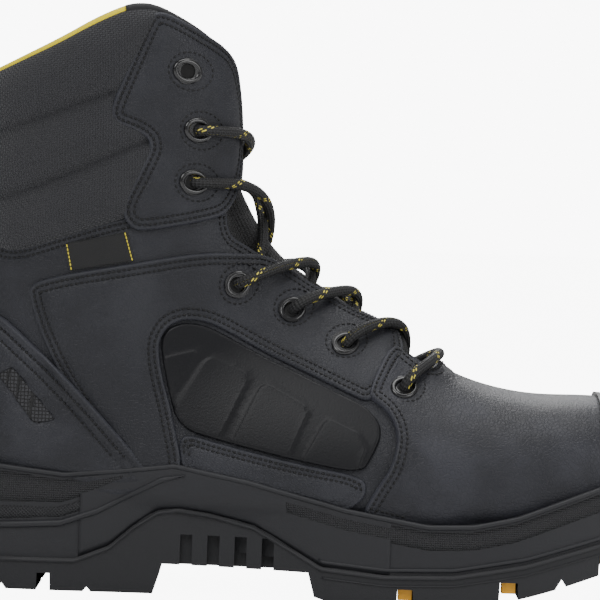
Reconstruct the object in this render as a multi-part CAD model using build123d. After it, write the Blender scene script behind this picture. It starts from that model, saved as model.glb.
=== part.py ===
from build123d import *
import os
from math import cos, pi, radians, sin, tan
import numpy as np

# Right-foot, lace-up, steel toe work boot with a padded collar.
# Working frame: h runs from the back of the heel to the toe, +Y is the medial (big toe) side, z is height over
# the ground. Millimetres. The exported frame is the same, with its origin under the middle of the boot's length.

# ---------------------------------------------------------------- driving dimensions
BOOT_LENGTH = 310.0  # back of the heel to the tip of the sole
BOOT_HEIGHT = 226.0  # ground to the highest point of the collar
BOOT_WIDTH = 108.0  # widest part of the sole, across the ball of the foot
PATTERN_LENGTH, PATTERN_HEIGHT, PATTERN_WIDTH = 310.0, 226.0, 108.0  # the size the outlines below are drawn for

LEATHER = 2.0  # base leather
OVERLAY = 1.6  # facings, quarters, strips and the label's carrier
PADDING = 2.0  # steel cap, heel counter and ankle foam, which share one layer
LINING = 1.4
PLY_GAP = 0.12  # between plies that lie on each other
COLLAR_SWELL = 2.4  # how far the collar stands out from the leather
COLLAR_COVER = 1.2
TONGUE_DEPTH = 10.4  # tongue's wings, under the leather's outer face
TONGUE_THICKNESS = 3.2
TONGUE_HALF_WIDTH = 18.0
TONGUE_PAD_DEPTH = 7.4  # top of the pad along its middle
TONGUE_PAD_HALF_WIDTH = 8.0
TONGUE_SEAT_CLEARANCE = 0.4
THROAT_HALF_GAP = 13.0  # half the gap between the two facings
GUARD_THICKNESS = 2.8
BUMPER_THICKNESS = 2.4
LABEL_THICKNESS = 0.7

LACE_DIAMETER = 4.2
LACE_LIFT = 6.2  # lace's centre over the leather where it crosses an edge
EYELET_BORE = 3.1
EYELET_BARREL = 3.6
EYELET_FLANGE = 5.0
EYELET_FLANGE_THICKNESS = 0.9
HOLE_CLEARANCE = 0.15
LACE_RISE = 7.6  # how far the lace stands out of an eyelet before it turns
LACE_DROP = 7.4  # and how far it goes in

BOARD_THICKNESS = 3.2
PLATE_THICKNESS = 0.8
FOOTBED_THICKNESS = 5.0
SHANK_THICKNESS = 1.4
SHANK_WIDTH = 18.0
GROOVE_DEPTH = 6.5
CHANNEL_HALF_WIDTH = 5.0
FLANGE_WALL = 4.0  # outsole's wall that wraps up the waist
WELT_STEP = 1.0  # how far the outsole stands out from the midsole
INSERT_LENGTH, INSERT_DEPTH, INSERT_HEIGHT = 5.2, 8.0, 4.2

KH, KZ, KW = BOOT_LENGTH / PATTERN_LENGTH, BOOT_HEIGHT / PATTERN_HEIGHT, BOOT_WIDTH / PATTERN_WIDTH

# ---------------------------------------------------------------- the boot's outer face
# Each station is a cross-section: front (top) point, back (bottom) point, half width, sideways shift, where along
# back to front the section is widest, and how square its front and back halves are (2 is an ellipse).
STATIONS = [
    ((110.0, 246.0), (5.0, 232.0), 40.0, 0.0, 0.50, 2.3, 2.1),
    ((112.0, 222.0), (6.5, 207.0), 40.0, 0.0, 0.50, 2.3, 2.1),
    ((113.5, 199.0), (7.5, 181.0), 39.5, 0.0, 0.50, 2.3, 2.1),
    ((114.8, 177.0), (7.5, 155.0), 38.5, 0.0, 0.50, 2.3, 2.1),
    ((117.5, 160.5), (6.5, 128.0), 37.5, 0.0, 0.50, 2.2, 2.1),
    ((123.5, 147.5), (4.8, 100.0), 36.8, 0.0, 0.49, 2.1, 2.1),
    ((132.0, 135.0), (3.4, 74.0), 36.4, 0.0, 0.47, 2.0, 2.2),
    ((141.5, 127.0), (4.5, 50.0), 36.4, 0.0, 0.44, 1.95, 2.5),
    ((151.0, 121.0), (14.0, 33.0), 36.8, 0.0, 0.40, 1.9, 2.9),
    ((160.5, 115.0), (40.0, 27.0), 38.2, -0.3, 0.36, 1.9, 3.2),
    ((171.0, 107.5), (80.0, 26.5), 40.8, -1.0, 0.33, 1.9, 3.4),
    ((182.0, 98.5), (122.0, 25.0), 44.3, -1.5, 0.32, 1.95, 3.4),
    ((193.5, 89.5), (158.0, 23.0), 47.0, -1.2, 0.32, 2.05, 3.4),
    ((206.0, 83.5), (187.0, 22.0), 48.2, -0.5, 0.33, 2.2, 3.4),
    ((221.0, 79.6), (211.0, 23.0), 48.2, 0.3, 0.35, 2.35, 3.4),
    ((237.0, 78.0), (233.0, 25.5), 46.6, 1.5, 0.37, 2.5, 3.4),
    ((254.0, 78.0), (252.0, 29.0), 43.0, 3.0, 0.39, 2.6, 3.3),
    ((269.0, 76.3), (268.0, 32.5), 37.6, 4.5, 0.41, 2.6, 3.2),
    ((282.0, 72.0), (281.0, 35.5), 30.0, 5.6, 0.43, 2.5, 3.0),
    ((292.0, 66.0), (291.0, 38.0), 21.5, 6.3, 0.45, 2.4, 2.7),
    ((298.5, 58.5), (298.0, 41.0), 12.5, 6.8, 0.48, 2.2, 2.3),
    ((300.8, 53.0), (300.6, 44.0), 6.0, 7.0, 0.50, 2.0, 2.0),
]
AROUND = 28  # points round a cross-section, half of them on each side
FINE = 720

# ---------------------------------------------------------------- outlines, seen from the side (h, z)
SOLE_OUTLINE = [  # seen from above (h, y)
    (0, 0), (3.5, -17), (14, -30), (31, -37.5), (52, -39), (80, -38), (104, -38.5), (128, -42.5), (152, -48.5),
    (176, -52.6), (197, -54), (217, -52.8), (237, -49.3), (257, -42.7), (276, -32.6), (292, -19.5), (304, -5),
    (309.6, 8), (307, 21), (298, 33), (284, 43.5), (265, 50.6), (243, 53.8), (220, 54), (196, 51), (168, 44.5),
    (136, 38.8), (104, 36.8), (78, 37.2), (52, 38.6), (31, 37.5), (14, 30), (3.5, 17),
]
TREAD_LINE = [(-8, 9), (0, 4.5), (8, 0), (88, 0), (91, 11.5), (147, 11), (149.5, 2), (156, 0), (196, 0)]
TOE_SPRING = [(196, 0), (229, 4.6), (259, 14), (288, 24), (322, 35)]
FLOOR_LINE = [  # the upper's underside
    (-8, 28.5), (40, 27), (80, 26.5), (122, 25), (158, 23), (187, 22), (211, 23), (233, 25.5), (252, 29), (268, 32.5),
    (281, 35.5), (298, 41), (322, 50),
]
WELT_LINE = [
    (-8, 12.8), (28, 12), (58, 12.2), (71, 17.5), (80, 25.5), (89, 31.6), (97, 32.7), (109, 31.2), (126, 27.4),
    (142, 18.8), (152, 13.2), (176, 11.3), (202, 12.2), (229, 17), (259, 25.8), (288, 34.5), (322, 44),
]
WAIST_HOLLOW = [(60, 13.6), (80, 16), (110, 17.4), (136, 15.6), (147, 14.2), (147, 60), (60, 60)]
MIDSOLE_LINE = [
    (-8, 50), (29, 47.4), (53, 45), (74, 47.3), (95, 50), (124, 45), (160, 36), (192, 31), (209, 31.6), (225, 35),
    (256, 46.6), (286, 52), (322, 54),
]
RIM_LINE = [(-12, 186), (8, 190.5), (23, 197.6), (45, 208.6), (60, 217.5), (72, 223.2), (82, 223.4), (97, 217), (114, 205), (122, 199)]
COLLAR_HEM = [(-12, 126), (22, 131.5), (31, 129), (48, 134.8), (71, 142.6)]
FACING = [
    (72, 142.6), (71.4, 149), (81.6, 171.6), (65.4, 180), (74, 206), (82, 222), (99, 214), (111.4, 203), (114.4, 187),
    (117, 163), (116.5, 148), (101, 141.8), (80, 137.6),
]
QUARTER = [
    (124, 131), (101.6, 130.2), (74, 124.9), (36.6, 116.4), (38, 104), (51, 84), (62, 72), (83, 51), (98, 51),
    (91, 78), (86.6, 96), (94, 104.5), (108, 102), (145, 84.5), (165.5, 76.5), (174, 98), (171, 106.5), (156, 113),
]
SIDE_PANEL = [
    (92, 82), (87.6, 94), (91, 102), (103, 102.6), (126.4, 91.5), (145, 83.2), (167, 73.6), (172.8, 64), (166.4, 49),
    (130, 55), (96, 63.4),
]
SIDE_STRIP = [(95.6, 63), (130, 54.6), (166, 48.6), (157, 37.6), (124, 46), (98, 50.6)]
VAMP_SEAM = [(186, 112), (175, 99), (167.5, 78), (174, 72.8), (178.6, 62), (175, 49), (160, 28), (156, 10)]
HEEL_GUARD = [(-6, 100), (22, 101), (32, 96.4), (58, 74), (82, 50.3), (70, 47.2), (40, 46.4), (-6, 50)]
BUMPER_EDGE = [(322, 90), (256, 90), (257.5, 70), (263, 59), (273, 52), (322, 58)]
HEEL_COUNTER = [(-6, 84), (30, 84), (62, 62), (84, 40), (84, 10), (-6, 10)]
THROAT = [(90, 262), (150, 262), (225, 110), (194, 74), (150, 96), (108, 120), (92, 150)]
LACE_ZONE = [(78, 262), (165, 262), (222, 116), (204, 64), (172, 72), (122, 96), (94, 124), (86, 150), (78, 200)]
TONGUE_SIDE = [(80, 212), (140, 212), (225, 120), (207, 60), (150, 84), (96, 112), (80, 150)]
TONGUE_ROOT = [(200, 100), (208, 100), (208, 50), (200, 50)]
TONGUE_STATIONS = 15  # how far down the surface the tongue's shapes are made
NOTCH = [(140, 156), (115, 155), (112, 147), (112.2, 140), (116, 135), (127, 128.6), (145, 134)]
LABEL = [(50.6, 131.8), (73.8, 137.2), (76.8, 126.6), (52.6, 121.8)]
EYELETS = [(93.4, 199.0), (98.0, 176.7), (97.2, 156.9), (115.4, 118.0), (137.0, 108.5), (158.0, 95.9), (181.0, 80.9)]
GROOVES = [(43.4, 49.2), (180.4, 187.2), (219.0, 226.8), (257.0, 264.6)]  # across the sole, where they start and end
NOTCHES = [(30.5, 2.2), (63.0, 1.8), (201.0, 2.0), (243.0, 3.0)]  # small ones in the lugs: place and depth
WAIST_SLOTS = [98.0, 108.4, 118.8, 129.2]
WAIST_SLOT = (4.6, 2.5)  # length and depth
FOREFOOT_START, HEEL_END = 149.0, 89.0

SIDES = {"lateral": -1.0, "medial": 1.0}
MIDDLE = BOOT_LENGTH / 2


# ---------------------------------------------------------------- surface helpers
def at(h, z):
    """A pattern point at the boot's real size."""
    return h * KH, z * KZ


def curvature_of(values):
    """Second derivatives of a natural cubic spline through values at 0, 1, 2 and so on."""
    count = len(values)
    matrix = np.eye(count)
    right = np.zeros_like(values)
    for i in range(1, count - 1):
        matrix[i, i - 1 : i + 2] = 1, 4, 1
        right[i] = 6 * (values[i - 1] - 2 * values[i] + values[i + 1])
    return np.linalg.solve(matrix, right)


TABLE = np.array(
    [[*at(*f), *at(*b), w * KW, c * KW, split, nf, nb] for f, b, w, c, split, nf, nb in STATIONS]
)
BEND = curvature_of(TABLE)
LAST = len(TABLE) - 1


def station(t):
    """The station's numbers at any place between the stations."""
    i = min(int(t), LAST - 1)
    u = t - i
    v = 1 - u
    return TABLE[i] * v + TABLE[i + 1] * u + (v**3 - v) * BEND[i] / 6 + (u**3 - u) * BEND[i + 1] / 6


def section(t, count=AROUND):
    """Points round the cross-section at t: front first, then the lateral side, the back and the medial side."""
    fh, fz, bh, bz, width, shift, split, front, back = station(t)
    angle = np.linspace(0, 2 * pi, FINE + 1)
    c, s = np.cos(angle), np.sin(angle)
    reach = np.where(c >= 0, (1 - split) * np.abs(c) ** (2 / front), -split * np.abs(c) ** (2 / back)) + split
    out = shift - width * np.sign(s) * np.abs(s) ** np.where(c >= 0, 2 / front, 2 / back)
    points = np.stack([bh + (fh - bh) * reach, out, bz + (fz - bz) * reach], 1)
    length = np.r_[0, np.cumsum(np.linalg.norm(np.diff(points, axis=0), axis=1))]
    half = FINE // 2
    wanted = np.r_[
        np.linspace(0, length[half], count // 2, endpoint=False),
        np.linspace(length[half], length[-1], count // 2, endpoint=False),
    ]
    return np.stack([np.interp(wanted, length, points[:, k]) for k in range(3)], 1)


def outward(t, count=AROUND, step=0.02):
    """Outward normals of the section's points."""
    along = section(min(t + step, LAST), count) - section(max(t - step, 0), count)
    here = section(t, count)
    across = np.roll(here, -1, 0) - np.roll(here, 1, 0)
    normal = np.cross(across, along)
    return normal / np.linalg.norm(normal, axis=1)[:, None]


def ring(points):
    """A closed wire through a section's points, in two edges that meet at the front and the back."""
    dots = [Vector(*p) for p in points]
    half = len(dots) // 2
    even = [i / half for i in range(half + 1)]  # the same in every section, which keeps the lofts light
    return Wire([Edge.make_spline(run, parameters=even) for run in (dots[: half + 1], dots[half:] + dots[:1])])


def skin(offset, last=LAST):
    """The boot's filled shape down to a station, grown outwards by offset."""
    rings = []
    for t in range(last + 1):
        points = section(float(t)) + offset * outward(float(t))
        if t in (0, last):  # the ends stay flat
            start = section(float(t))
            flat = np.cross(start[AROUND // 4] - start[0], start[AROUND // 2] - start[0])
            flat /= np.linalg.norm(flat)
            points -= np.outer((points - start[0]) @ flat, flat)
        if t == LAST:
            points[:, 0] = section(float(LAST))[:, 0].max() + 0.9 * offset
        rings.append(ring(points))
    return Solid.make_loft(rings)


def flat_face(points, radius=0.0):
    """A face in the side view from pattern points, with its corners rounded."""
    real = [at(*p) for p in points]
    line = FilletPolyline(*real, radius=radius, close=True) if radius else Polyline(*real, close=True)
    return Plane.XZ * make_face(line)


def prism(points, radius=0.0, low=-90.0, high=90.0):
    """The side-view outline pushed through the boot from y = low to y = high."""
    return Pos(0, high, 0) * extrude(flat_face(points, radius), amount=high - low)


def band(lower, upper, low=-90.0, high=90.0):
    """The space between two side-view lines, which are smooth curves from the heel to the toe."""
    bottom, top = Spline(*[at(*p) for p in lower]), Spline(*[at(*p) for p in upper])
    face = make_face([bottom, Line(bottom @ 1, top @ 1), top, Line(top @ 0, bottom @ 0)])
    return Pos(0, high, 0) * extrude(Plane.XZ * face, amount=high - low)


def below(line, depth=60.0):
    """The space under a smooth side-view line."""
    curve = Spline(*[at(*p) for p in line])
    start, end = curve @ 0, curve @ 1
    floor = Polyline((start.X, start.Y), (start.X, -depth), (end.X, -depth), (end.X, end.Y))
    return Pos(0, 90, 0) * extrude(Plane.XZ * make_face([curve, floor]), amount=180)


def raised(line, up):
    """A line moved up by real millimetres."""
    return [(h, z + up / KZ) for h, z in line]


def less(shape, *tools):
    """The shape with each tool cut away in turn."""
    for tool in tools:
        shape = shape - tool
    return shape


def one_side(shape, sign):
    """The lateral (-1) or the medial (1) half of a shape."""
    half = Pos(MIDDLE, sign * 50, 150) * Box(2 * BOOT_LENGTH, 100, 500)
    return shape & half


class Surface:
    """Looks up places on the boot's outer face from their side-view position."""

    COUNT = 240

    def __init__(self):
        self.places = np.linspace(0, LAST, 420)
        self.points = np.array([section(t, self.COUNT) for t in self.places])

    def find(self, h, z, sign):
        """The point on that side at the pattern place (h, z), its normal and its station."""
        h, z = at(h, z)
        half = self.COUNT // 2
        side = self.points[:, :half] if sign < 0 else self.points[:, half:]
        row, column = np.unravel_index(np.argmin((side[..., 0] - h) ** 2 + (side[..., 2] - z) ** 2), side.shape[:2])
        column += 0 if sign < 0 else half
        t = self.places[row]
        return section(t, self.COUNT)[column], outward(t, self.COUNT)[column], t

    def front(self, t, y):
        """The point at station t on the front, at the distance y from the middle, and its normal."""
        points = section(t, self.COUNT)
        quarter = self.COUNT // 4
        columns = [i % self.COUNT for i in range(-quarter, quarter + 1)]
        column = min(columns, key=lambda i: abs(points[i][1] - y))
        return points[column], outward(t, self.COUNT)[column]


# ---------------------------------------------------------------- sole
def sole_prism(grow):
    """The sole's outline, grown by grow, as a tall block. Its outline is one smooth loop in two edges."""
    points = np.array([(h * KH, y * KW) for h, y in SOLE_OUTLINE])
    along = np.roll(points, -1, 0) - np.roll(points, 1, 0)
    points += grow * np.stack([along[:, 1], -along[:, 0]], 1) / np.linalg.norm(along, axis=1)[:, None]
    loop = Spline(*[tuple(p) for p in points], periodic=True)
    return Pos(0, 0, -10) * extrude(make_face([loop.trim(0, 0.5), loop.trim(0.5, 1)]), amount=120)


def tread_block():
    """Everything between the tread's underside and the top of the boot."""
    low = [at(*p) for p in TREAD_LINE]
    spring = Spline(*[at(*p) for p in TOE_SPRING])
    high = [at(322, 200), at(-8, 200), low[0]]
    face = make_face([Polyline(*low), spring, Polyline(spring @ 1, *high)])
    return Pos(0, 90, 0) * extrude(Plane.XZ * face, amount=180)


def spring_height(h):
    """How high the tread's underside is at pattern place h on the forefoot."""
    return float(np.interp(h, [p[0] for p in TOE_SPRING], [p[1] for p in TOE_SPRING]))


def tread_cuts():
    """The grooves between the lugs, the small notches and the channel along the middle."""
    cuts = []
    for start, end in GROOVES:
        base, slope = spring_height((start + end) / 2), 0.5
        roof = base + GROOVE_DEPTH / KZ
        cuts.append(prism([(start, base - 6), (start + slope, roof), (end - slope, roof), (end, base - 6)]))
    for place, depth in NOTCHES:
        base = spring_height(place)
        cuts.append(prism([(place - 2.4, base - 1), (place, base + depth), (place + 2.4, base - 1)]))
    length, depth = WAIST_SLOT
    for start in WAIST_SLOTS:
        for sign in SIDES.values():
            wall = Pos((start + length / 2) * KH, sign * (36 * KW + 10), 12 * KZ) * Box(length, 20, 2 * 11 * KZ)
            cuts.append(wall)
    for start, end in ((14, HEEL_END - 12), (FOREFOOT_START + 10, 250)):
        middle = (start + end) / 2
        top = spring_height(middle) + GROOVE_DEPTH * 0.7
        cuts.append(
            Pos(middle * KH, 0, 0) * Box((end - start) * KH, 2 * CHANNEL_HALF_WIDTH, 2 * top)
        )
    return cuts


def insert_places():
    """Where each tread insert sits: its place along the boot, its side and its height."""
    for start, end in GROOVES[1:]:
        for name, sign in SIDES.items():
            yield (start + end) / 2, sign, spring_height((start + end) / 2)


def sole_edge(h, sign):
    """The sole outline's y at pattern place h on one side."""
    side = [(a, b) for a, b in SOLE_OUTLINE if b * sign > 0]
    side.sort()
    return float(np.interp(h, [a for a, _ in side], [b for _, b in side])) * KW


def tread_inserts():
    """Coloured grip blocks, seated against the roof of the grooves."""
    blocks = []
    for place, sign, base in insert_places():
        edge = sole_edge(place, sign)
        roof = (base + GROOVE_DEPTH / KZ) * KZ - PLY_GAP
        seat = Pos(place * KH, edge - sign * (INSERT_DEPTH / 2 + 1.6), roof - INSERT_HEIGHT / 2)
        blocks.append(seat * Box(INSERT_LENGTH, INSERT_DEPTH, INSERT_HEIGHT))
    return Compound(blocks)


def sole_split():
    """The space of the outsole, which wraps up the waist and leaves it hollow."""
    return below(WELT_LINE) - (sole_prism(-FLANGE_WALL) & prism(WAIST_HOLLOW))


def make_outsole(lower, upper):
    return less(sole_prism(WELT_STEP) & tread_block() & lower, upper, *tread_cuts())


def shank_block(clearance=0.0, pocket=0.0):
    """The shank, or with a clearance and a pocket height the recess that it drops into."""
    start, end = at(68, 26.1), at(150, 22.8)
    slope = (end[1] - start[1]) / (end[0] - start[0])
    length, width = end[0] - start[0] + 2 * clearance, SHANK_WIDTH + 2 * clearance
    centre = ((start[0] + end[0]) / 2, 0, (start[1] + end[1]) / 2)
    height = SHANK_THICKNESS + clearance + pocket
    block = Pos(0, 0, pocket - height / 2) * Box(length, width, height)
    return Pos(*centre) * Rot(0, -np.degrees(np.arctan(slope)), 0) * block


def make_midsole(lower, upper):
    return less(sole_prism(0.0) & below(MIDSOLE_LINE), lower, upper, shank_block(PLY_GAP, 10.0))


# ---------------------------------------------------------------- eyelets and lace
def eyelet_frames(surface, sign):
    """A plane at each eyelet, with its z along the leather's outward normal."""
    frames = []
    for h, z in EYELETS:
        point, normal, _ = surface.find(h, z, sign)
        frames.append(Plane(origin=tuple(point), z_dir=tuple(normal)))
    return frames


def cup(radius, start, length):
    return Pos(0, 0, start) * Cylinder(radius, length, align=(Align.CENTER, Align.CENTER, Align.MIN))


def make_eyelet(frame, covered):
    """A flanged barrel through the leather, with a washer on its inner end."""
    lift = 0.25  # keeps the flat flanges off the curved leather
    top = lift + PLY_GAP + (OVERLAY + PLY_GAP if covered else 0.0)
    bottom = -LEATHER - PLY_GAP - lift - EYELET_FLANGE_THICKNESS
    barrel = cup(EYELET_BARREL, bottom, top - bottom + EYELET_FLANGE_THICKNESS)
    over = cup(EYELET_FLANGE, top, EYELET_FLANGE_THICKNESS)
    under = cup(EYELET_FLANGE - 0.6, bottom, EYELET_FLANGE_THICKNESS)
    return frame * (barrel + over + under - cup(EYELET_BORE, bottom - 1, 20))


def eyelet_holes(frames):
    return [frame * Cylinder(EYELET_BARREL + HOLE_CLEARANCE, 14) for frame in frames]


def lace_leg(surface, start, sign, over):
    """Points of one lace leg: out of eyelet start on side sign and across to the next one down, under its edge."""
    first, first_normal, t_first = surface.find(*EYELETS[start], sign)
    last, last_normal, t_last = surface.find(*EYELETS[start + 1], -sign)
    near, near_normal = surface.front(t_first + 0.16 * (t_last - t_first), sign * (THROAT_HALF_GAP + 1.5))
    centre, centre_normal = surface.front(t_first + 0.5 * (t_last - t_first), 0.0)
    far, far_normal = surface.front(t_first + 0.86 * (t_last - t_first), -sign * (THROAT_HALF_GAP + 1.5))
    lift = LACE_DIAMETER * (0.95 if over else -0.1)
    return [
        first + first_normal * LACE_RISE,
        near + near_normal * LACE_LIFT,
        centre + centre_normal * lift,
        far - far_normal * (LEATHER + LACE_DIAMETER / 2 + 0.5),
        last - last_normal * LACE_DROP,
    ]


def lace_end(surface, sign):
    """Points of a lace end, from its tip inside the shaft up to the top laced eyelet."""
    points = []
    for drop in (3.0, 2.0, 1.0):
        spot, normal, _ = surface.find(EYELETS[1][0] - 3 * drop, EYELETS[1][1] - 15 * drop, sign)
        points.append(spot - normal * (LACE_DROP + 0.9 * drop))
    eyelet, normal, _ = surface.find(*EYELETS[1], sign)
    return points + [eyelet - normal * LACE_DROP]


def lace_points(surface):
    """The whole lace: in a zigzag down from one top eyelet, straight over at the bottom, and up to the other."""
    down, up = [], []
    sign = -1.0
    for start in range(1, len(EYELETS) - 1):
        down += lace_leg(surface, start, sign, sign < 0)
        up += lace_leg(surface, start, -sign, sign > 0)
        sign = -sign
    bar = []
    for side in (sign, -sign):
        eyelet, normal, t = surface.find(*EYELETS[-1], side)
        edge, edge_normal = surface.front(t + 0.35, side * (THROAT_HALF_GAP - 1))
        bar.append([eyelet + normal * LACE_RISE, edge + edge_normal * LACE_LIFT])
    return lace_end(surface, -1.0) + down + bar[0] + bar[1][::-1] + up[::-1] + lace_end(surface, 1.0)[::-1]


def tube(points, radius):
    """A round tube along straight runs joined by tangent arcs."""
    dots = [Vector(*p) for p in points]
    radii = []
    for a, b, c in zip(dots, dots[1:], dots[2:]):
        before, after = b - a, c - b
        turn = radians(before.get_angle(after))
        radii.append(0.45 * min(before.length, after.length) / tan(max(turn, 0.05) / 2))
    path = FilletPolyline(*dots, radius=[min(r, 60.0) for r in radii])
    profile = Plane(origin=path @ 0, z_dir=path % 0) * Circle(radius)
    return sweep(profile, path=path), path.length, min(radii)


# ---------------------------------------------------------------- assembly
def build():
    surface = Surface()
    skins = {}

    def grown(offset, last=LAST):
        key = (round(offset, 3), last)
        if key not in skins:
            skins[key] = skin(offset, last)
        return skins[key]

    def shell(outer, inner, last=LAST):
        return grown(outer, last) - grown(inner, last)

    over_low, over_high = PLY_GAP, PLY_GAP + OVERLAY
    pad_high = -LEATHER - PLY_GAP
    pad_low = pad_high - PADDING
    lining_high = pad_low - PLY_GAP
    lining_low = lining_high - LINING
    plate_low = BOARD_THICKNESS + PLY_GAP
    insole_top = plate_low + PLATE_THICKNESS + PLY_GAP

    nodes = {}
    above_rim = below(RIM_LINE, -280.0)
    under_foot = below(raised(FLOOR_LINE, insole_top))
    throat = prism(THROAT, 0, -THROAT_HALF_GAP, THROAT_HALF_GAP)
    notch = prism(NOTCH)
    front_of_seam = prism([*VAMP_SEAM, (322, 10), (322, 112)])
    panel_hole = prism(SIDE_PANEL, 3.0)
    facing_shape, quarter_shape = prism(FACING, 2.0), prism(QUARTER, 1.5)
    frames = {name: eyelet_frames(surface, sign) for name, sign in SIDES.items()}
    holes = [eyelet_holes(side) for side in frames.values()]

    # base leather: back panel, side panels, vamp
    leather = shell(0.0, -LEATHER)
    collar_space = prism([*COLLAR_HEM, *FACING[1:6], (82, 262), (-12, 262)]) - facing_shape
    nodes["vamp"] = less(leather & front_of_seam, under_foot, throat, *[side[-1] for side in holes])
    rear = less(leather, front_of_seam, above_rim, under_foot, throat, notch, *[hole for side in holes for hole in side[:-1]])
    nodes["back_panel"] = less(rear, panel_hole, collar_space)
    for name, sign in SIDES.items():
        nodes[f"side_panel_{name}"] = one_side(rear & panel_hole, sign)

    # overlays
    overlay = shell(over_high, over_low)
    guard_shape, strip_shape = prism(HEEL_GUARD, 1.5), prism(SIDE_STRIP, 1.0)
    sole_edge_space = below(raised(MIDSOLE_LINE, 0.4))
    low_holes, high_holes = [[hole for side in holes for hole in side[part]] for part in (slice(3, 6), slice(0, 3))]
    quarters = less(overlay & quarter_shape, guard_shape, front_of_seam, sole_edge_space, throat, notch, *low_holes)
    facings = less(overlay & facing_shape, above_rim, throat, notch, *high_holes)
    strips = less(overlay & strip_shape, quarter_shape, front_of_seam, guard_shape, sole_edge_space)
    for name, sign in SIDES.items():
        nodes[f"facing_{name}"] = one_side(facings, sign)
        nodes[f"quarter_{name}"] = one_side(quarters, sign)
        nodes[f"side_strip_{name}"] = one_side(strips, sign)
    nodes["heel_guard"] = (overlay & guard_shape) - sole_edge_space
    tag = one_side(shell(over_low + LABEL_THICKNESS, over_low) & prism(LABEL), -1.0)
    nodes["label"] = less(tag, quarter_shape, facing_shape, collar_space)
    bumper = shell(PLY_GAP + BUMPER_THICKNESS, PLY_GAP) & prism(BUMPER_EDGE, 3.0)
    nodes["toe_bumper"] = bumper - sole_edge_space

    # collar
    collar = collar_space - above_rim
    swell = COLLAR_SWELL - COLLAR_COVER
    nodes["collar_cover"] = shell(COLLAR_SWELL, swell) & collar
    nodes["collar_foam"] = shell(swell - PLY_GAP, pad_low) & collar

    # padding layer
    padding = shell(pad_high, pad_low) - under_foot
    lace_zone = prism(LACE_ZONE)
    above_hem = prism([*COLLAR_HEM, (322, 300), (-12, 300)])
    nodes["toe_cap"] = padding & prism([(244, 110), (322, 110), (322, 10), (244, 10)])
    nodes["cap_edge_strip"] = padding & prism([(236, 110), (243.7, 110), (243.7, 10), (236, 10)])
    counter_shape = prism(HEEL_COUNTER, 4.0)
    nodes["heel_counter"] = padding & counter_shape
    fore = prism([(150, 200), (322, 200), (322, 0), (150, 0)])
    ankle = less(padding, above_hem, counter_shape, lace_zone, fore)
    for name, sign in SIDES.items():
        nodes[f"ankle_padding_{name}"] = one_side(ankle, sign)

    # lining
    lining = less(shell(lining_high, lining_low), above_rim, lace_zone)
    collar_lining_space = prism([(-12, 118), (60, 128), (84, 140), (84, 262), (-12, 262)])
    nodes["collar_lining"] = lining & collar_lining_space
    nodes["foot_lining"] = lining - collar_lining_space
    guard_high = lining_low - PLY_GAP
    nodes["metatarsal_guard"] = shell(guard_high, guard_high - GUARD_THICKNESS) & prism(
        [(212, 110), (243, 110), (243, 60), (212, 52)]
    )

    # under the foot
    base = grown(0.0)
    nodes["insole_board"] = base & band(raised(FLOOR_LINE, 0.1), raised(FLOOR_LINE, BOARD_THICKNESS))
    plate = base & band(raised(FLOOR_LINE, plate_low), raised(FLOOR_LINE, plate_low + PLATE_THICKNESS))
    nodes["penetration_plate"] = plate - grown(pad_low)
    bed_low = -lining_low + PLY_GAP
    nodes["footbed"] = grown(lining_low - PLY_GAP) & band(
        raised(FLOOR_LINE, bed_low), raised(FLOOR_LINE, bed_low + FOOTBED_THICKNESS)
    )

    # sole
    envelope = grown(PLY_GAP)
    lower = sole_split()
    nodes["outsole"] = make_outsole(lower, envelope)
    nodes["midsole"] = make_midsole(lower, envelope)
    nodes["shank"] = shank_block()
    nodes["tread_inserts"] = tread_inserts()

    # tongue
    low = TONGUE_DEPTH + TONGUE_THICKNESS
    wings = prism(TONGUE_SIDE, 0, -TONGUE_HALF_WIDTH, TONGUE_HALF_WIDTH)
    ridge = prism(TONGUE_SIDE, 0, -TONGUE_PAD_HALF_WIDTH, TONGUE_PAD_HALF_WIDTH)
    root = prism(TONGUE_ROOT, 0, -TONGUE_HALF_WIDTH, TONGUE_HALF_WIDTH)
    root_high = lining_low - TONGUE_SEAT_CLEARANCE
    body = shell(-TONGUE_DEPTH, -low, TONGUE_STATIONS) & wings
    pad = (shell(-TONGUE_PAD_DEPTH, -TONGUE_DEPTH, TONGUE_STATIONS) & ridge) - prism([(196, 200), (322, 200), (322, 0), (196, 0)])
    seat = shell(root_high, -TONGUE_DEPTH, TONGUE_STATIONS) & root
    nodes["tongue"] = body + pad + seat
    nodes["tongue_lining"] = shell(-low - PLY_GAP, -low - LINING, TONGUE_STATIONS) & wings

    # eyelets and lace
    for name, side in frames.items():
        nodes[f"eyelets_{name}"] = Compound([make_eyelet(frame, frame is not side[-1]) for frame in side])
    points = lace_points(surface)
    nodes["lace"], length, radius = tube(points, LACE_DIAMETER / 2)
    print(f"lace length {length:.0f} mm, tightest bend {radius:.1f} mm")
    tips = []
    for tip, before in ((points[0], points[1]), (points[-1], points[-2])):
        way = Vector(*(tip - before)).normalized()
        plane = Plane(origin=Vector(*tip) + way * 0.05, z_dir=way)
        tips.append(plane * cup(LACE_DIAMETER * 0.42, 0, 14))
    nodes["aglets"] = Compound(tips)
    return nodes


os.makedirs("parts", exist_ok=True)
for node, shape in build().items():
    solids = [s for s in shape.solids() if s.volume > 20.0]
    moved = [Pos(-MIDDLE, 0, 0) * s for s in solids]
    export_step(moved[0] if len(moved) == 1 else Compound(moved), os.path.join("parts", f"{node}.step"))
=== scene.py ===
from math import cos, pi, radians, sin

import bmesh
import bpy
import numpy as np
from mathutils import Matrix, Vector, noise
from mathutils.geometry import delaunay_2d_cdt
from mathutils.kdtree import KDTree


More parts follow.
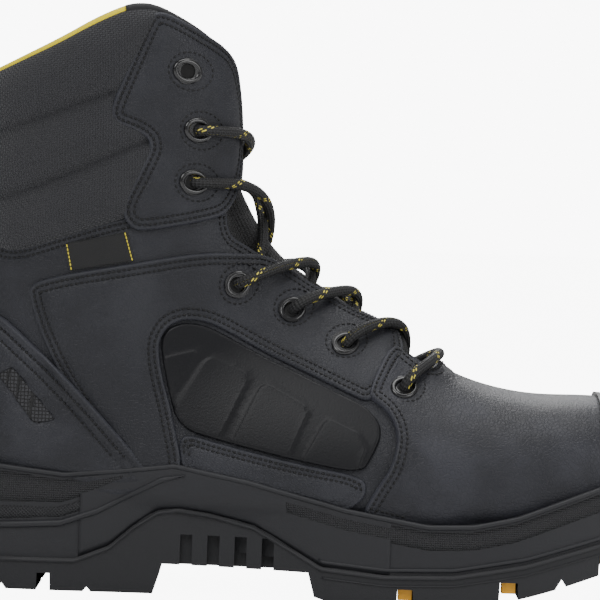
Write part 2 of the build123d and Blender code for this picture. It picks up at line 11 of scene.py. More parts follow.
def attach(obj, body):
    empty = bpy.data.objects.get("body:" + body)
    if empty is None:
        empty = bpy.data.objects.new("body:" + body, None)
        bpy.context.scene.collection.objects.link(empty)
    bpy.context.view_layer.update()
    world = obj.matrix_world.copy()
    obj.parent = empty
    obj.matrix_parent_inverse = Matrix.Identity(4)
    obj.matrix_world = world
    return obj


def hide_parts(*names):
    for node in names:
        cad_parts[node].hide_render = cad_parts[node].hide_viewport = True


# A right-foot safety boot. Pattern places are (h, z) in millimetres: h from the back of the heel to the toe,
# z over the ground, as the side view shows them. Meshes are in metres, with the origin under the sole's middle.

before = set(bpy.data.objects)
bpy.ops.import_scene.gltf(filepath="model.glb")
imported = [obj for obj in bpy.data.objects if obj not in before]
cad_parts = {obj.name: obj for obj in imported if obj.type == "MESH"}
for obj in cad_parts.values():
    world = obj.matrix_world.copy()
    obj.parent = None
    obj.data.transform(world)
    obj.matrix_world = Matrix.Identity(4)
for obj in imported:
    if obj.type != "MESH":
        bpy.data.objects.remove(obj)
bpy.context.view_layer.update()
MM = 0.001
MIDDLE = 155.0  # the sole's middle, half its length from the back of the heel
LATERAL, MEDIAL = -1, 1

# ---------------------------------------------------------------- the boot's outer face
STATIONS = [
    ((110.0, 246.0), (5.0, 232.0), 40.0, 0.0, 0.50, 2.3, 2.1),
    ((112.0, 222.0), (6.5, 207.0), 40.0, 0.0, 0.50, 2.3, 2.1),
    ((113.5, 199.0), (7.5, 181.0), 39.5, 0.0, 0.50, 2.3, 2.1),
    ((114.8, 177.0), (7.5, 155.0), 38.5, 0.0, 0.50, 2.3, 2.1),
    ((117.5, 160.5), (6.5, 128.0), 37.5, 0.0, 0.50, 2.2, 2.1),
    ((123.5, 147.5), (4.8, 100.0), 36.8, 0.0, 0.49, 2.1, 2.1),
    ((132.0, 135.0), (3.4, 74.0), 36.4, 0.0, 0.47, 2.0, 2.2),
    ((141.5, 127.0), (4.5, 50.0), 36.4, 0.0, 0.44, 1.95, 2.5),
    ((151.0, 121.0), (14.0, 33.0), 36.8, 0.0, 0.40, 1.9, 2.9),
    ((160.5, 115.0), (40.0, 27.0), 38.2, -0.3, 0.36, 1.9, 3.2),
    ((171.0, 107.5), (80.0, 26.5), 40.8, -1.0, 0.33, 1.9, 3.4),
    ((182.0, 98.5), (122.0, 25.0), 44.3, -1.5, 0.32, 1.95, 3.4),
    ((193.5, 89.5), (158.0, 23.0), 47.0, -1.2, 0.32, 2.05, 3.4),
    ((206.0, 83.5), (187.0, 22.0), 48.2, -0.5, 0.33, 2.2, 3.4),
    ((221.0, 79.6), (211.0, 23.0), 48.2, 0.3, 0.35, 2.35, 3.4),
    ((237.0, 78.0), (233.0, 25.5), 46.6, 1.5, 0.37, 2.5, 3.4),
    ((254.0, 78.0), (252.0, 29.0), 43.0, 3.0, 0.39, 2.6, 3.3),
    ((269.0, 76.3), (268.0, 32.5), 37.6, 4.5, 0.41, 2.6, 3.2),
    ((282.0, 72.0), (281.0, 35.5), 30.0, 5.6, 0.43, 2.5, 3.0),
    ((292.0, 66.0), (291.0, 38.0), 21.5, 6.3, 0.45, 2.4, 2.7),
    ((298.5, 58.5), (298.0, 41.0), 12.5, 6.8, 0.48, 2.2, 2.3),
    ((300.8, 53.0), (300.6, 44.0), 6.0, 7.0, 0.50, 2.0, 2.0),
]
LAST = len(STATIONS) - 1
ROWS, COLUMNS = 40, 360  # rows for each station, columns round the section
TABLE = np.array([[*f, *b, w, c, split, nf, nb] for f, b, w, c, split, nf, nb in STATIONS])


def curvature_of(values):
    """Second derivatives of a natural cubic spline through values at 0, 1, 2 and so on."""
    matrix, right = np.eye(len(values)), np.zeros_like(values)
    for i in range(1, len(values) - 1):
        matrix[i, i - 1 : i + 2] = 1, 4, 1
        right[i] = 6 * (values[i - 1] - 2 * values[i] + values[i + 1])
    return np.linalg.solve(matrix, right)


BEND = curvature_of(TABLE)


def section(t):
    """Points round the cross-section at t: front first, then the lateral side, the back and the medial side."""
    i = min(int(t), LAST - 1)
    u, v = t - i, 1 - t + i
    row = TABLE[i] * v + TABLE[i + 1] * u + (v**3 - v) * BEND[i] / 6 + (u**3 - u) * BEND[i + 1] / 6
    fh, fz, bh, bz, width, shift, split, front, back = row
    angle = np.linspace(0, 2 * pi, 2 * COLUMNS + 1)
    c, s = np.cos(angle), np.sin(angle)
    reach = np.where(c >= 0, (1 - split) * np.abs(c) ** (2 / front), -split * np.abs(c) ** (2 / back)) + split
    out = shift - width * np.sign(s) * np.abs(s) ** np.where(c >= 0, 2 / front, 2 / back)
    points = np.stack([bh + (fh - bh) * reach, out, bz + (fz - bz) * reach], 1)
    length = np.r_[0, np.cumsum(np.linalg.norm(np.diff(points, axis=0), axis=1))]
    half, back_point = COLUMNS // 2, length[COLUMNS]
    lateral = np.linspace(0, back_point, half, endpoint=False)
    medial = np.linspace(back_point, length[-1], half, endpoint=False)
    wanted = np.r_[lateral, medial]
    return np.stack([np.interp(wanted, length, points[:, k]) for k in range(3)], 1)


GRID = np.array([section(t) for t in np.linspace(0, LAST, LAST * ROWS + 1)])
NORMALS = np.cross(np.roll(GRID, -1, 1) - np.roll(GRID, 1, 1), np.gradient(GRID, axis=0))
NORMALS /= np.linalg.norm(NORMALS, axis=2)[..., None]
DOWN = np.r_[0, np.cumsum(np.linalg.norm(np.diff(GRID, axis=0), axis=2).mean(1))]  # mean distance down the rows
AROUND = 240.0  # mean distance round a section


def sample(field, t, a):
    """A grid field at stations t and turns a: 0 at the front, 0.25 lateral, 0.5 at the back and 0.75 medial."""
    row = np.clip(np.asarray(t) * ROWS, 0, LAST * ROWS - 1e-6)
    column = np.mod(np.asarray(a), 1.0) * COLUMNS
    r, c = row.astype(int), column.astype(int) % COLUMNS
    u, v = (row - r)[..., None], (column - column.astype(int))[..., None]
    d = (c + 1) % COLUMNS
    above = field[r, c] * (1 - v) + field[r, d] * v
    below = field[r + 1, c] * (1 - v) + field[r + 1, d] * v
    return above * (1 - u) + below * u


def on_surface(ta, lift=0.0):
    """Points over the surface at (t, a) rows, lift millimetres out."""
    t, a = ta[..., 0], ta[..., 1]
    return sample(GRID, t, a) + sample(NORMALS, t, a) * np.asarray(lift)[..., None]


def find(places, side):
    """The (t, a) of side-view places on one side of the boot."""
    places = np.asarray(places, float)
    half = COLUMNS // 2
    columns = np.arange(0, half + 1) if side == LATERAL else np.arange(half, COLUMNS + 1) % COLUMNS
    rows = GRID[:, columns][::4]
    found = []
    for h, z in places:
        r, c = np.unravel_index(np.argmin((rows[..., 0] - h) ** 2 + (rows[..., 2] - z) ** 2), rows.shape[:2])
        found.append((r * 4 / ROWS, (c if side == LATERAL else c + half) / COLUMNS))
    ta = np.array(found)
    low, high = (0.0, 0.5) if side == LATERAL else (0.5, 1.0)
    for _ in range(12):  # Newton steps, kept on this side
        step = np.array([[0.02, 0.0], [0.0, 0.002]])
        here = on_surface(ta)[:, [0, 2]]
        slopes = [(on_surface(ta + s)[:, [0, 2]] - on_surface(ta - s)[:, [0, 2]]) / (2 * s.sum()) for s in step]
        matrix = np.stack(slopes, 2)
        inverse = np.linalg.inv(matrix.transpose(0, 2, 1) @ matrix + np.diag([1e-2, 1.0]))
        move = (inverse @ matrix.transpose(0, 2, 1) @ (places - here)[..., None])[..., 0]
        ta = ta + np.clip(move, [-0.3, -0.02], [0.3, 0.02])
        ta[:, 1] = np.clip(ta[:, 1], low, high)
        ta[:, 0] = np.clip(ta[:, 0], 0, LAST)
    return ta


# ---------------------------------------------------------------- outlines in the side view
def rounded(points, closed=True, cuts=3, keep=0.22):
    """A line with its corners cut away a few times."""
    line = np.asarray(points, float)
    for _ in range(cuts):
        after = np.roll(line, -1, 0) if closed else line[1:]
        before = line if closed else line[:-1]
        ends = [before * (1 - keep) + after * keep, before * keep + after * (1 - keep)]
        cut = np.stack(ends, 1).reshape(-1, 2)
        line = cut if closed else np.r_[line[:1], cut[1:-1], line[-1:]]
    return line


def spaced(line, gap, closed=True):
    """A line with points a gap apart."""
    line = np.asarray(line, float)
    if closed:
        line = np.r_[line, line[:1]]
    length = np.r_[0, np.cumsum(np.linalg.norm(np.diff(line, axis=0), axis=1))]
    count = max(int(round(length[-1] / gap)), 3)
    wanted = np.linspace(0, length[-1], count + 1)[: count if closed else count + 1]
    return np.stack([np.interp(wanted, length, line[:, k]) for k in range(line.shape[1])], 1)


FACING = [
    (72, 142.6), (71.6, 148), (78, 161.7), (81.8, 171.0), (
        77.3, 175.3
    ), (67, 178.5), (65.9, 184), (69.3, 193), (73.8, 204.8),
    (80, 221), (86, 221), (98.6, 214.5), (108.3, 208.3), (111.4, 202), (113.5, 187.6), (115, 163), (
        114.5, 153.3
    ),
    (110.6, 144.8), (101.2, 141.8), (83.4, 138.3), (76, 138),
]
QUARTER = [
    (126.8, 129.4), (119, 130.1), (
        101.6, 130.2
    ), (74.2, 124.9), (50.2, 120.2), (37.0, 116.0), (38.2, 108.6), (42.0, 98),
    (44.9, 92), (
        47.9, 85.7
    ), (52.6, 78), (60.2, 67), (78, 43), (99.5, 43), (93, 70), (88.5, 84), (86.8, 95), (90, 101.6),
    (95.5, 104.4), (
        101.8, 104.4
    ), (109, 102.4), (127, 92.8), (145.5, 84.8), (158, 79.3), (169, 74.6), (181, 92), (179, 101),
    (170.5, 105.4), (161.2, 109.4), (157.9, 111.2), (145.6, 118.0), (140, 121.4),
]
SIDE_PANEL = [
    (87.5, 95.7), (90.3, 101.1), (95.7, 103.2), (101.8, 103), (108, 101.2), (126.4, 91.5), (
        144.9, 83.6
    ), (157.1, 78),
    (166.4, 74.1), (172.2, 68.3), (172.9, 62.9), (170.1, 56.4), (166, 49), (140.4, 53.1), (
        115.5, 58.3
    ), (95.6, 63.4),
    (90.4, 81.1),
]
SIDE_STRIP = [
    (95.0, 62.4), (115.5, 57.3), (140.4, 52.1), (167.4, 48), (168, 40), (158, 33), (124, 39), (99, 43.5)
]
WINDOWS = [
    [(88.7, 90.2), (102.7, 93.7), (91.8, 74.6), (87.5, 77.7)],
    [(105.8, 91.4), (122.9, 84), (110.5, 57.6), (95, 61.8), (93.8, 70.8)],
    [(127.2, 82), (145.9, 72.3), (137, 51.7), (115.2, 56.4)],
    [(152, 69.2), (164.5, 64.1), (167.6, 59), (163.4, 46.2), (141.6, 50.1)],
]
WINDOW_RIDGES = [
    [(102.2, 92.5), (92.0, 75.2)], [(122.0, 82.6), (110.8, 58.8)], [(145.0, 71.2), (137.4, 52.8)],
    [(167.0, 58.2), (164.2, 50.0)],
]
HEEL_WINDOW = [(32.4, 85.6), (51.3, 64.2), (40.6, 61.8), (25.4, 81.2)]
VAMP_EDGE = [
    (175.6, 98.6), (166.6, 78.4), (170, 75.6), (174.7, 72.3), (178.3, 66.3), (
        178.9, 60.3
    ), (177, 51.8), (171.2, 43),
    (166, 33),
]
EYELETS = [
    (93.4, 199.0), (98.0, 176.7), (97.2, 156.9), (115.4, 118.0), (137.0, 108.5), (158.0, 95.9),
    (181.0, 80.9)
]
GROOVES = [
    [(23.9, 173.3), (28.8, 175), (38.2, 178.4), (52.7, 184.6), (66, 189.5)],
    [(24.9, 147.7), (39.1, 153), (48.8, 157.3), (63.1, 163.7), (72.6, 168.8), (81.3, 172)],
]
LABEL = [(50.4, 131.9), (73.8, 137.3), (76.8, 126.2), (52.2, 121.5)]

# ---------------------------------------------------------------- shader expressions
class Value:
    """A shader socket that can be used in sums."""

    def __init__(self, net, socket):
        self.net, self.socket = net, socket

    def __add__(self, other):
        return self.net.maths("ADD", self, other)

    def __sub__(self, other):
        return self.net.maths("SUBTRACT", self, other)

    def __rsub__(self, other):
        return self.net.maths("SUBTRACT", other, self)

    def __mul__(self, other):
        return self.net.maths("MULTIPLY", self, other)

    def __truediv__(self, other):
        return self.net.maths("DIVIDE", self, other)

    __radd__, __rmul__ = __add__, __mul__


class Net:
    """A material's node tree."""

    def __init__(self, name):
        self.material = bpy.data.materials.new(name)
        self.material.use_nodes = True
        self.tree = self.material.node_tree
        self.tree.nodes.clear()

    def node(self, kind, settings=None, out=0, **inputs):
        """One node: its settings first, then its inputs by name, with _ for a space, or by number as i0, i1."""
        node = self.tree.nodes.new("ShaderNode" + kind)
        for key, value in (settings or {}).items():
            setattr(node, key, value)
        for key, value in inputs.items():
            numbered = key[0] == "i" and key[1:].isdigit()
            socket = node.inputs[int(key[1:]) if numbered else key.replace("_", " ")]
            if isinstance(value, Value):
                self.tree.links.new(value.socket, socket)
            elif isinstance(value, tuple) and socket.type == "RGBA":
                socket.default_value = (*value, 1)
            else:
                socket.default_value = value
        return Value(self, node.outputs[out])

    def maths(self, operation, *values):
        return self.node("Math", {"operation": operation}, **{f"i{k}": v for k, v in enumerate(values)})

    def place(self, kind="Object"):
        return self.node("TexCoord", out=kind)

    def parts(self, vector):
        split = self.node("SeparateXYZ", Vector=vector).socket.node
        return [Value(self, s) for s in split.outputs]

    def mix(self, factor, a, b):
        return self.node("Mix", {"data_type": "RGBA"}, 2, i0=factor, i6=a, i7=b)

    def noise(self, vector, scale, detail=2.0):
        return self.node("TexNoise", None, "Fac", Vector=vector, Scale=scale, Detail=detail)

    def cells(self, vector, scale, feature="F1"):
        return self.node("TexVoronoi", {"feature": feature}, "Distance", Vector=vector, Scale=scale)

    def band(self, value, low, high):
        """0 below low and 1 over high, smooth between."""
        smooth = {"interpolation_type": "SMOOTHSTEP"}
        return self.node("MapRange", smooth, Value=value, From_Min=low, From_Max=high)

    def bump(self, height, distance):
        return self.node("Bump", None, "Normal", Height=height, Distance=distance)

    def finish(self, **inputs):
        shader = self.node("BsdfPrincipled", **inputs)
        out = self.tree.nodes.new("ShaderNodeOutputMaterial")
        self.tree.links.new(shader.socket, out.inputs["Surface"])
        return self.material


def shaded(colour, factor):
    return tuple(c * factor for c in colour)


def leather(name, colour, pale_tone_and_edge_highlight, grain=1400.0, depth=0.00012, rough=0.46):
    """Grained leather: pebbles between fine creases with painted shade, paler in random patches, painted highlight
    at edges.
    """
    net = Net(name)
    at = net.place()
    drift = net.node("TexNoise", None, "Color", Vector=at, Scale=160.0)
    drift = net.node("VectorMath", {"operation": "SCALE"}, i0=drift, Scale=0.0016)
    warp = net.node("VectorMath", {"operation": "ADD"}, i0=at, i1=drift)
    pebbles = net.cells(warp, grain)
    creases = net.band(net.cells(warp, grain * 0.55, "DISTANCE_TO_EDGE"), 0.0, 0.16)
    broad, fine = net.noise(at, 38.0, 3.0), net.noise(at, 2600.0, 2.0)
    colour_here = net.mix(net.band(broad, 0.38, 0.72), colour, pale_tone_and_edge_highlight)
    # Painted shade: the grain's creases are darkened towards half the colour.
    colour_here = net.mix((1 - creases) * 0.3, colour_here, shaded(colour, 0.5))
    # Painted highlight: the panel's edge attribute lightens the colour along every cut edge, its wall and its
    # underside.
    edge = net.node("Attribute", {"attribute_name": "edge"}, "Fac")
    colour_here = net.mix(edge * 0.7, colour_here, shaded(pale_tone_and_edge_highlight, 1.7))
    height = creases * 0.7 + pebbles * -0.35 + fine * 0.25
    roughness = broad * 0.16 + fine * 0.1 + (rough - 0.13)
    return net.finish(
        Base_Color=colour_here, Roughness=roughness, Normal=net.bump(height, depth), Specular_IOR_Level=0.35,
    )


def rubber(name, colour, rough=0.62, scale=1400.0, depth=0.00008, gloss=0.5):
    """Moulded rubber with a fine matt grain."""
    net = Net(name)
    at = net.place()
    fine, broad = net.noise(at, scale, 3.0), net.noise(at, 30.0, 3.0)
    shade = net.mix(broad * 0.6, colour, shaded(colour, 1.5))
    return net.finish(
        Base_Color=shade, Roughness=broad * 0.14 + fine * 0.08 + (rough - 0.1),
        Normal=net.bump(fine, depth), Specular_IOR_Level=gloss,
    )


def woven(name, colour, light, pitch=0.0011, depth=0.00028, rough=0.7, sheen=0.15):
    """Basket weave on the piece's own map, in metres."""
    net = Net(name)
    u, v, _ = net.parts(net.place("UV"))
    warp = net.maths("SINE", u * (2 * pi / pitch))
    weft = net.maths("SINE", v * (2 * pi / pitch))
    over = warp * weft
    on_top = net.band(over, -0.1, 0.1)
    thread = net.maths("ABSOLUTE", warp) * on_top + net.maths("ABSOLUTE", weft) * (1 - on_top)
    fibre = net.noise(net.place(), 5200.0, 2.0)
    # Painted shade and highlight: each thread is lighter along its crown and darker in the gaps between threads; the
    # fibre noise adds random tone.
    shade = net.mix(thread * 0.75 + fibre * 0.35, colour, light)
    return net.finish(
        Base_Color=shade, Roughness=fibre * 0.2 + (rough - 0.1),
        Normal=net.bump(thread + fibre * 0.3, depth), Sheen_Weight=sheen, Sheen_Roughness=0.5,
    )


def plain(name, colour, rough, metallic=0.0, scale=700.0, depth=0.00004, coat=0.0):
    """A smooth moulded or metal finish with slight wear."""
    net = Net(name)
    wear = net.noise(net.place(), scale, 3.0)
    shade = net.mix(wear * 0.5, colour, shaded(colour, 0.7))
    return net.finish(
        Base_Color=shade, Roughness=wear * 0.16 + (rough - 0.08), Metallic=metallic,
        Normal=net.bump(wear, depth), Coat_Weight=coat,
    )


def hexagons(name, colour, pitch=0.0030, depth=0.0006):
    """Rubber with small raised cells."""
    net = Net(name)
    edges = {"feature": "DISTANCE_TO_EDGE"}
    cells = net.node("TexVoronoi", edges, "Distance", Vector=net.place(), Scale=1 / pitch, Randomness=0.12)
    raised = net.band(cells, 0.03, 0.16)
    fine = net.noise(net.place(), 1800.0)
    # Painted shade: the grooves between the raised cells are darkened to 0.15 of the colour.
    shade = net.mix(raised, shaded(colour, 0.15), colour)
    relief = net.bump(raised + fine * 0.08, depth)
    return net.finish(Base_Color=shade, Roughness=fine * 0.1 + 0.5, Normal=relief)


def braid():
    """Black braid with yellow tracer threads, on the lace's own map: round it and along it in metres."""
    net = Net("lace_braid")
    u, v, _ = net.parts(net.place("UV"))
    lead, dash = 0.021, 0.0026
    tracer = 0
    for start in (0.0, 0.085):
        off = net.maths("FRACT", u + v / lead + start)
        near = net.maths("ABSOLUTE", off - 0.5)
        row = 1 - net.band(near, 0.016, 0.026)
        gaps = net.maths("SINE", v * (2 * pi / dash) + start * 30.0)
        tracer = row * net.band(gaps, 0.0, 0.25) + tracer
    fine = net.maths("SINE", v * (2 * pi / 0.0007) + u * 90.0)
    round_it, along_it = u * (2 * pi * 6), v * (2 * pi / 0.0022)
    plies = net.maths("SINE", round_it + along_it) * net.maths("SINE", round_it - along_it)
    # Painted shade and highlight: the black is lighter on the crown of each ply and darker between the plies.
    black = net.mix(net.band(plies, -0.6, 0.9), (0.004, 0.004, 0.004), (0.028, 0.028, 0.030))
    shade = net.mix(tracer, black, (0.85, 0.72, 0.10))
    relief = net.bump(plies + fine * 0.3, 0.00022)
    return net.finish(Base_Color=shade, Roughness=plies * 0.08 + 0.62, Normal=relief)


def ribs(name, colour, pitch, crossed):
    """Rubber moulded with fine raised lines on the band's own map."""
    net = Net(name)
    u, v, _ = net.parts(net.place("UV"))
    one = net.maths("SINE", (u + v) * (2 * pi / pitch))
    two = net.maths("SINE", (u - v) * (2 * pi / pitch))
    relief = one * two if crossed else net.maths("MAXIMUM", one, two)
    fine = net.noise(net.place(), 1800.0)
    # Painted shade: the hollows between the raised lines are darkened to half the colour.
    shade = net.mix(net.band(relief, -0.5, 0.7), shaded(colour, 0.5), colour)
    bumps = net.bump(relief + fine * 0.2, 0.00022)
    return net.finish(Base_Color=shade, Roughness=fine * 0.1 + 0.55, Normal=bumps)


LEATHER = leather("grained_leather", (0.0182, 0.0190, 0.0238), (0.030, 0.0312, 0.038))
OVERLAY = leather("overlay_leather", (0.0192, 0.0200, 0.0250), (0.032, 0.0332, 0.041), 1500.0, rough=0.44)
VAMP = leather("toe_leather", (0.0205, 0.0212, 0.0265), (0.038, 0.0392, 0.049), 1300.0, rough=0.45)
SCUFF = leather("scuff_leather", (0.011, 0.011, 0.012), (0.020, 0.020, 0.022), 1700.0, 0.00008, 0.36)
MOULDED = rubber("moulded_panel", (0.0066, 0.0068, 0.0082), rough=0.42, gloss=0.28)
FOAM = rubber("midsole_foam", (0.0118, 0.0122, 0.0150), rough=0.56)
SOLE = rubber("sole_rubber", (0.0105, 0.0108, 0.0130), rough=0.56)
GRIPPED = ribs("gripped_midsole", (0.019, 0.0194, 0.0225), 0.0017, True)
HATCHED = ribs("hatched_midsole", (0.019, 0.0194, 0.0225), 0.0014, False)
HEXED = hexagons("celled_rubber", (0.034, 0.0345, 0.039), pitch=0.0014, depth=0.0006)
AMBER = plain("amber_rubber", (1.0, 0.46, 0.0), 0.4, coat=0.2)
NYLON = woven("ballistic_nylon", (0.0018, 0.0019, 0.0024), (0.026, 0.027, 0.033), pitch=0.0016, depth=0.0004)
TONGUE_CLOTH = woven("tongue_cloth", (0.003, 0.003, 0.003), (0.024, 0.024, 0.026), pitch=0.0017, depth=0.0004)
LINING = woven("yellow_lining", (0.85, 0.66, 0.0), (1.0, 0.90, 0.0), pitch=0.0014, rough=0.9, sheen=0.3)
THREAD = plain("black_thread", (0.0025, 0.0025, 0.003), 0.6)
YELLOW = plain("yellow_thread", (0.80, 0.66, 0.05), 0.6)
RING = plain("eyelet_black", (0.010, 0.010, 0.011), 0.24, depth=0.00001, coat=0.4)
# Painted shade: near-black for the discs that close the eyelet holes.
HOLE_SHADE = plain("eyelet_hole_shade", (0.001, 0.001, 0.001), 0.8)
BRAID = braid()
STEEL = plain("cap_steel", (0.55, 0.56, 0.58), 0.38, metallic=1.0)
BOARD = plain("fibre_board", (0.45, 0.40, 0.32), 0.85, scale=300.0, depth=0.0002)
PADDING = plain("foam_padding", (0.10, 0.10, 0.105), 0.95, scale=900.0, depth=0.0003)
TAPE = woven("label_tape", (0.002, 0.002, 0.002), (0.010, 0.010, 0.011), pitch=0.0007, depth=0.0001)


# ---------------------------------------------------------------- mesh helpers
def metres(points):
    points = np.asarray(points, float)
    return (points - [MIDDLE, 0, 0]) * MM


def make_object(name, points, faces, material, uv=None):
    """A mesh object from millimetre points."""
    mesh = bpy.data.meshes.new(name)
    mesh.from_pydata([tuple(p) for p in metres(points)], [], [tuple(int(i) for i in f) for f in faces])
    mesh.update()
    if uv is not None:
        layer = mesh.uv_layers.new(name="UVMap")
        flat = np.asarray(uv, float)[[loop.vertex_index for loop in mesh.loops]]
        layer.data.foreach_set("uv", flat.ravel())
    mesh.shade_smooth()
    piece = bpy.data.objects.new(name, mesh)
    bpy.context.scene.collection.objects.link(piece)
    piece.data.materials.append(material)
    return piece


def outwards(piece):
    """Recalculates the faces of a closed mesh so that they point out."""
    work = bmesh.new()
    work.from_mesh(piece.data)
    bmesh.ops.remove_doubles(work, verts=work.verts, dist=1e-7)
    bmesh.ops.recalc_face_normals(work, faces=work.faces)
    work.to_mesh(piece.data)
    work.free()


def settle(piece, *nodes, body="root", slot=None):
    """The piece rides on its body and stands for CAD nodes."""
    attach(piece, body)
    if nodes:
        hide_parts(*nodes)
    return piece


def tree_of(points):
    tree = KDTree(len(points))
    for i, p in enumerate(points):
        tree.insert(p, i)
    tree.balance()
    return tree


def flat_of(ta):
    """The panel plane: millimetres round and down the boot."""
    return np.stack([ta[:, 1] * AROUND, np.interp(ta[:, 0] * ROWS, np.arange(len(DOWN)), DOWN)], 1)


def ta_of(flat):
    return np.stack([np.interp(flat[:, 1], DOWN, np.arange(len(DOWN))) / ROWS, flat[:, 0] / AROUND], 1)


def inside(points, loop):
    """Which points lie inside a closed loop."""
    x, y = points[:, 0], points[:, 1]
    result = np.zeros(len(points), bool)
    for (x0, y0), (x1, y1) in zip(loop, np.roll(loop, -1, 0)):
        if y0 != y1:
            result ^= ((y0 > y) != (y1 > y)) & (x < (x1 - x0) * (y - y0) / (y1 - y0) + x0)
    return result


def inward(loop, depth):
    """A closed (t, a) loop moved depth millimetres into its own inside along the surface."""
    flat = flat_of(loop)
    points = on_surface(loop)
    normal = sample(NORMALS, loop[:, 0], loop[:, 1])
    along = np.roll(points, -1, 0) - np.roll(points, 1, 0)
    side = np.cross(normal, along)
    side /= np.linalg.norm(side, axis=1)[:, None]
    step = 0.01
    slope_t = (on_surface(loop + [step, 0]) - on_surface(loop - [step, 0])) / (2 * step)
    slope_a = (on_surface(loop + [0, step]) - on_surface(loop - [0, step])) / (2 * step)
    jacobian = np.stack([slope_t, slope_a], 2)
    inverse = np.linalg.inv(jacobian.transpose(0, 2, 1) @ jacobian + np.eye(2) * 1e-6)
    move = (inverse @ jacobian.transpose(0, 2, 1) @ side[..., None])[..., 0]
    trial = loop + move * 0.5
    sign = 1.0 if inside(flat_of(trial), flat).mean() > 0.5 else -1.0
    return loop + move * depth * sign


def edge_profile(thickness, roll=0.9):
    """Height over the base at a distance from the panel's edge: a cut edge that rolls over."""
    return lambda d: thickness * (0.25 + 0.75 * np.sqrt(np.clip(1 - (1 - np.clip(d / roll, 0, 1)) ** 2, 0, 1)))


def stitched(height, rows, depth=0.45, width=0.6):
    """Adds a sunk line under each stitch row."""
    return lambda d: height(d) - sum(depth * np.exp(-(((d - row) / width) ** 2)) for row in rows)


RINGS = (0.35, 0.8, 1.4, 2.0, 2.6, 3.4, 4.2, 5.0)  # where a panel's mesh has lines along its edge


def panel(name, loop, base, height, material, gap=2.4, rings=RINGS, shape=None, lines=()):
    """A closed panel on the boot's face. Its outline is a (t, a) loop, base is its underside's lift, and height is
    its thickness by the distance from its edge. shape adds to the lift at (points, ta, distance), and the mesh
    follows lines."""
    outline = flat_of(loop)
    border = tree_of(on_surface(loop))

    def from_edge(ta):
        return np.array([border.find(p)[2] for p in on_surface(ta)])

    kept = []
    for depth in rings:
        ring = inward(loop, depth)
        kept.append(ring[from_edge(ring) > 0.82 * depth])
    low, high = outline.min(0), outline.max(0)
    xs, ys = np.arange(low[0], high[0], gap), np.arange(low[1], high[1], gap * 0.87)
    grid = np.array([(x + (gap / 2 if k % 2 else 0), y) for k, y in enumerate(ys) for x in xs])
    grid = grid[inside(grid, outline)]
    if len(grid):
        grid = grid[from_edge(ta_of(grid)) > rings[-1] + gap * 0.5]
    if len(lines):
        drawn = flat_of(np.concatenate(lines))
        tree = tree_of(np.c_[drawn, np.zeros(len(drawn))])
        grid = grid[np.array([tree.find((*p, 0.0))[2] for p in grid]) > gap * 0.5]
        grid = np.concatenate([grid, drawn])
    free = np.concatenate([flat_of(np.concatenate(kept)), grid])
    free = free[inside(free, outline)]
    verts = np.concatenate([outline, free])
    edges = [(i, (i + 1) % len(outline)) for i in range(len(outline))]
    out = delaunay_2d_cdt([Vector(v) for v in verts], edges, [], 0, 1e-5)
    verts2, faces = np.array([tuple(v) for v in out[0]]), np.array([f for f in out[2] if len(f) == 3])
    faces = faces[inside(verts2[faces].mean(1), outline)]
    a, b, c = verts2[faces[:, 0]], verts2[faces[:, 1]], verts2[faces[:, 2]]
    turn = (b[:, 0] - a[:, 0]) * (c[:, 1] - a[:, 1]) - (b[:, 1] - a[:, 1]) * (c[:, 0] - a[:, 0])
    faces[turn < 0] = faces[turn < 0][:, ::-1]
    ta = ta_of(verts2)
    ground = on_surface(ta)
    far = from_edge(ta)
    far[: len(outline)] = 0.0
    lift = base + height(far) + (shape(ground, ta, far) if shape else 0.0)
    top, bottom = on_surface(ta, lift), on_surface(ta, np.full(len(ta), float(base)))
    count = len(ta)
    counts = {}
    for face in faces:
        for i in range(3):
            counts[(face[i], face[(i + 1) % 3])] = 1
    rim = [e for e in counts if (e[1], e[0]) not in counts]
    walls = [(b, a, a + count, b + count) for a, b in rim]
    every = [tuple(f) for f in faces] + [tuple(i + count for i in f[::-1]) for f in faces] + walls
    uv = np.concatenate([verts2, verts2]) * MM
    piece = make_object(name, np.concatenate([top, bottom]), every, material, uv)
    # Painted highlight mask for the leather finish: 1 on the underside, fading from 1 at the edge to 0 a millimetre
    # in.
    pale_tone_and_edge_highlight = piece.data.attributes.new("edge", "FLOAT", "POINT")
    pale_tone_and_edge_highlight.data.foreach_set("value", np.r_[np.exp(-((far / 0.75) ** 2)), np.ones(len(far))].astype(np.float32))
    outwards(piece)
    return piece


